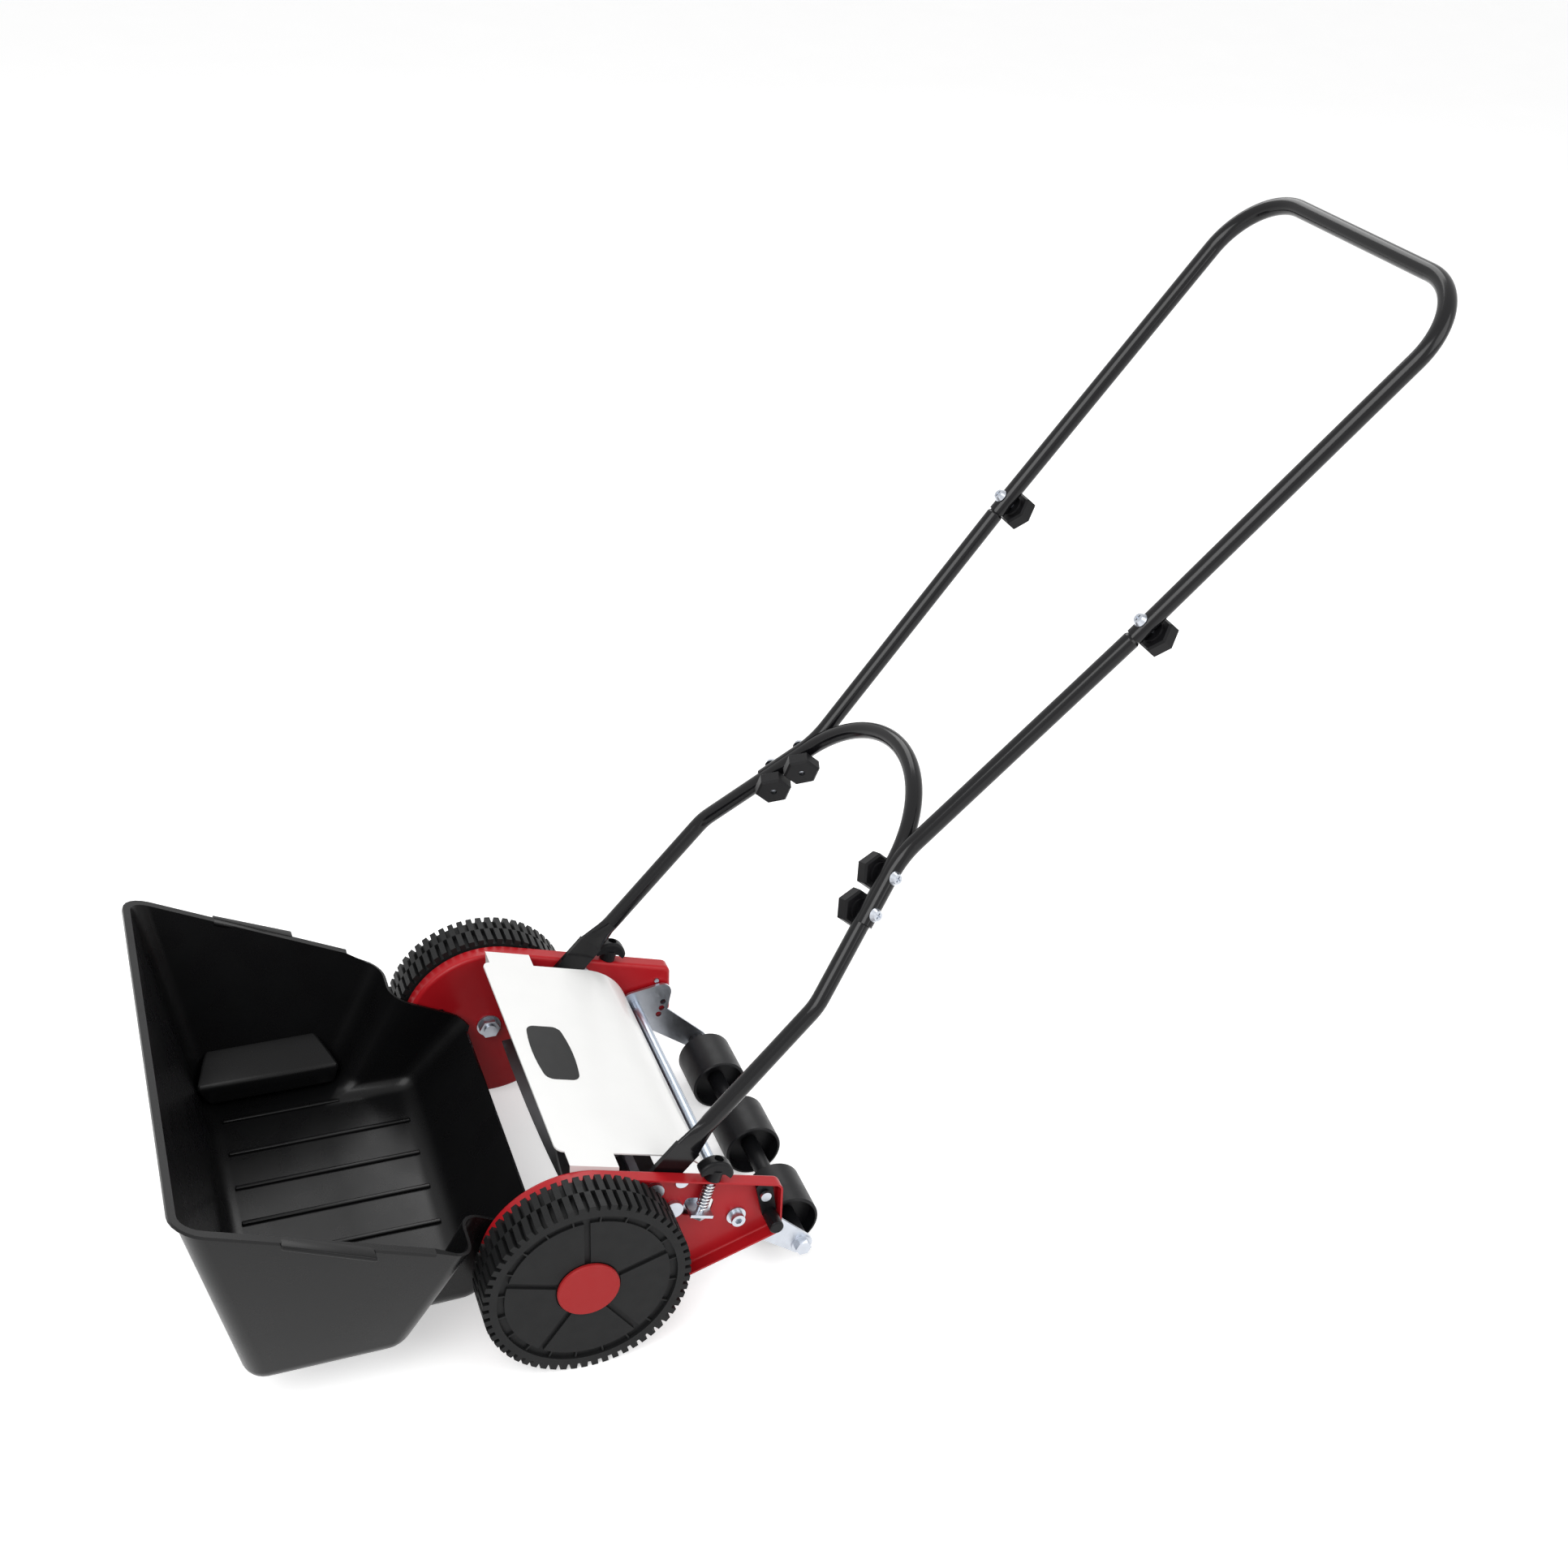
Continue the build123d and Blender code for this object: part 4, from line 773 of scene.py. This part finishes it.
    def add_ledge(self, mesh: bmesh.types.BMesh, side: Side) -> None:
        """Adds the sloping ledge on one side wall, its ends clear of the round corners.

        Args:
            mesh: The bin.
            side: The wall's side.
        """
        near, far = sorted(side.value * x for x in self.ledge_x)
        floor = self.levels[0]
        low = (near, self.ledge_y[0], floor + self.wall / 2)
        verts = self.block(mesh, low, (far, self.ledge_y[1], self.ledge_z[0]))
        for vert in verts:
            is_front = vert.co.y < AXLE_Y + sum(self.ledge_y) / 2
            is_outer = abs(vert.co.x) > sum(self.ledge_x) / 2
            is_low = vert.co.z < self.ledge_z[0] - self.wall
            inset = 0.0
            if is_outer:
                inset = self.corner
                vert.co.z = floor + self.corner if is_low else self.ledge_z[1]
                skin = self.wall_at(self.half, vert.co.z) - self.wall / 2
                vert.co.x = side.value * skin
            elif is_low:
                inset = self.tuck
                vert.co.z += self.tuck
            if is_front:
                skin = self.wall_at(self.front, vert.co.z) + self.wall / 2
                vert.co.y = AXLE_Y + skin + inset
            else:
                vert.co.y -= inset
        self.soften(mesh, verts, self.lip)

    def add_hook(self, mesh: bmesh.types.BMesh, side: Side) -> None:
        """Adds the hook over one pin: two legs and a roof.

        Args:
            mesh: The bin.
            side: The pin's side.
        """
        y, z = self.pin_at
        near, far = sorted(side.value * x for x in self.hook_x)
        spans = (
            (-self.hook_half, -self.hook_slot_half, self.hook_foot),
            (self.hook_slot_half, self.hook_half, self.hook_foot),
            (-self.hook_half, self.hook_half, self.hook_roof),
        )
        for start, end, base in spans:
            low, high = (near, y + start, z + base), (far, y + end, z + self.hook_top)
            self.soften(mesh, self.block(mesh, low, high), self.hook_edge)

    def add_grip(self, mesh: bmesh.types.BMesh, side: Side) -> None:
        """Adds the grip along one side of the rim.

        Args:
            mesh: The bin.
            side: The rim's side.
        """
        (y_from, z_from), (y_to, z_to) = self.rim[:2]
        fall = (z_to - z_from) / (y_to - y_from)
        height = z_to + (self.grip_y - y_to) * fall - self.lip / 2
        half = self.wall_at(self.half, height)
        ends = (half - self.wall / 2, half + self.grip_out)
        near, far = sorted(side.value * x for x in ends)
        low = (near, self.grip_y - self.grip_half, height - self.grip_thick / 2)
        high = (far, self.grip_y + self.grip_half, height + self.grip_thick / 2)
        verts = self.block(mesh, low, high)
        for vert in verts:
            vert.co.z += (vert.co.y - AXLE_Y - self.grip_y) * fall
        self.soften(mesh, verts, self.grip_edge)

    def add_ribs(self, mesh: bmesh.types.BMesh) -> None:
        """Adds the floor's ribs, the outer ones only as far as the rear wall.

        Args:
            mesh: The bin.
        """
        floor, start = self.levels[0], self.front[0] + self.corner
        base, crest = floor + self.wall / 2, floor + self.wall + self.rib_rise
        for number in range(self.rib_count):
            place = (number - (self.rib_count - 1) / 2) * self.rib_pitch
            in_mouth = abs(place) < self.mouth_half - self.rib_side_gap
            end = self.mouth[0][0] - self.rib_ramp_gap if in_mouth else self.rear[0]
            low, high = (place - self.rib_half, start, base), (place + self.rib_half, end, crest)
            self.soften(mesh, self.block(mesh, low, high), self.rib_edge)

    def build(self, shop: Workshop) -> bpy.types.Object:
        """Moulds the bin and puts it in place of its plain node.

        Args:
            shop: The workshop that finishes it.

        Returns:
            The bin.
        """
        mesh = self.shell()
        mesh.normal_update()
        inner = [e for e in mesh.edges if not e.is_boundary]
        bends = [e for e in inner if e.calc_face_angle(0) > self.least_bend]
        self.round_edges(mesh, bends, self.corner, self.corner_steps)
        for part in range(len(self.rim) - 1):
            self.cut(mesh, *self.rim_plane(part), clear=True)
        bmesh.ops.remove_doubles(mesh, verts=mesh.verts, dist=self.skin_weld)
        bmesh.ops.dissolve_degenerate(mesh, edges=mesh.edges, dist=self.hair)
        self.turn_lip(mesh)
        bmesh.ops.recalc_face_normals(mesh, faces=mesh.faces)
        bmesh.ops.solidify(mesh, geom=mesh.faces[:], thickness=-self.wall)
        for side in Side:
            self.add_ledge(mesh, side)
            self.add_hook(mesh, side)
            self.add_grip(mesh, side)
        self.add_ribs(mesh)
        piece = shop.piece(
            "moulded_bin", mesh, Finishes.BIN_PLASTIC, "catcher_bin", "black_plastic"
        )
        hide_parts("catcher")
        return piece


@dataclass(frozen=True)
class Lamp:
    """A square soft lamp: its place, its side in metres, its watts and what it faces."""

    name: str
    at: tuple[float, float, float]
    size: float
    power: float
    aim: tuple[float, float, float] = (0.0, 0.0, 0.2)

    def hang(self) -> None:
        """Hangs the lamp."""
        light = bpy.data.lights.new(self.name, "AREA")
        light.size = self.size
        light.energy = self.power
        lamp = bpy.data.objects.new(self.name, light)
        lamp.location = self.at
        facing = Vector(self.aim) - Vector(self.at)
        lamp.rotation_euler = facing.to_track_quat("-Z", "Y").to_euler()
        bpy.context.scene.collection.objects.link(lamp)


LAMPS = (
    Lamp("key", (1.6, -1.6, 2.6), 2.2, 62.0),
    Lamp("fill", (1.8, 1.6, 1.6), 1.8, 22.0),
    Lamp("back", (-1.8, 0.6, 2.2), 1.6, 24.0),
)


@dataclass
class Studio:
    """Pale floor, soft lamps and the camera at the photograph's angle."""

    camera_at: tuple[float, float, float] = (1.208962, -0.442093, 1.121234)
    camera_turn: tuple[float, float, float] = (59.32097, -2.12808, 70.18797)
    lens: float = 46.713
    sensor: float = 36.0
    clip_end: float = 50.0
    floor_half: float = 6.0
    floor_drop: float = 0.0004
    floor_glow: float = 0.5
    surround: tuple[float, float] = (0.5, 1.0)

    def floor(self) -> None:
        """Lays the floor."""
        mesh = bmesh.new()
        bmesh.ops.create_grid(mesh, x_segments=1, y_segments=1, size=self.floor_half)
        bmesh.ops.translate(mesh, verts=mesh.verts, vec=(0, 0, -self.floor_drop))
        data = bpy.data.meshes.new("floor")
        mesh.to_mesh(data)
        mesh.free()
        floor = bpy.data.objects.new("floor", data)
        bpy.context.scene.collection.objects.link(floor)
        pale = FLOOR_FINISH.material()
        tree = pale.node_tree
        shader = tree.nodes["Principled BSDF"]
        shader.inputs["Emission Color"].default_value = (1, 1, 1, 1)
        glow = self.seen(tree, 0.0, self.floor_glow)
        tree.links.new(glow, shader.inputs["Emission Strength"])
        data.materials.append(pale)

    @staticmethod
    def seen(tree: bpy.types.NodeTree, low: float, high: float) -> bpy.types.NodeSocket:
        """A level that is higher where the camera, a gloss or a clear piece looks.

        Args:
            tree: The node tree to work in.
            low: Level for the light that falls on the mower.
            high: Level that shows.

        Returns:
            The level.
        """
        ray = tree.nodes.new("ShaderNodeLightPath")
        total = ray.outputs["Is Camera Ray"]
        for kind in ("Is Glossy Ray", "Is Transmission Ray"):
            add = tree.nodes.new("ShaderNodeMath")
            tree.links.new(total, add.inputs[0])
            tree.links.new(ray.outputs[kind], add.inputs[1])
            total = add.outputs["Value"]
        level = tree.nodes.new("ShaderNodeMapRange")
        level.inputs["To Min"].default_value = low
        level.inputs["To Max"].default_value = high
        tree.links.new(total, level.inputs["Value"])
        return level.outputs["Result"]

    def world(self) -> None:
        """Sets an even pale surround, white where it shows."""
        world = bpy.data.worlds.new("pale_surround")
        bpy.context.scene.world = world
        world.use_nodes = True
        tree = world.node_tree
        back = tree.nodes["Background"]
        back.inputs["Color"].default_value = (1, 1, 1, 1)
        tree.links.new(self.seen(tree, *self.surround), back.inputs["Strength"])

    def camera(self) -> None:
        """Sets the camera."""
        data = bpy.data.cameras.new("photo_camera")
        data.lens = self.lens
        data.sensor_width = self.sensor
        data.clip_end = self.clip_end
        camera = bpy.data.objects.new("photo_camera", data)
        camera.location = self.camera_at
        camera.rotation_euler = Euler([math.radians(a) for a in self.camera_turn], "XYZ")
        bpy.context.scene.collection.objects.link(camera)
        bpy.context.scene.camera = camera

    def build(self) -> None:
        """Sets up the studio."""
        self.camera()
        self.world()
        self.floor()
        for lamp in LAMPS:
            lamp.hang()
        bpy.context.scene.view_settings.view_transform = "Standard"


def main() -> None:
    """Builds the studio, dresses the nodes and makes the added pieces."""
    logging.basicConfig(level=logging.INFO)
    Studio().build()
    shop = Workshop()
    shop.dress_nodes()
    for side in Side:
        AdjustingSpring(side).build(shop)
    BareLabel().build(shop)
    MouldedBin().build(shop)


if __name__ == "__main__":
    main()
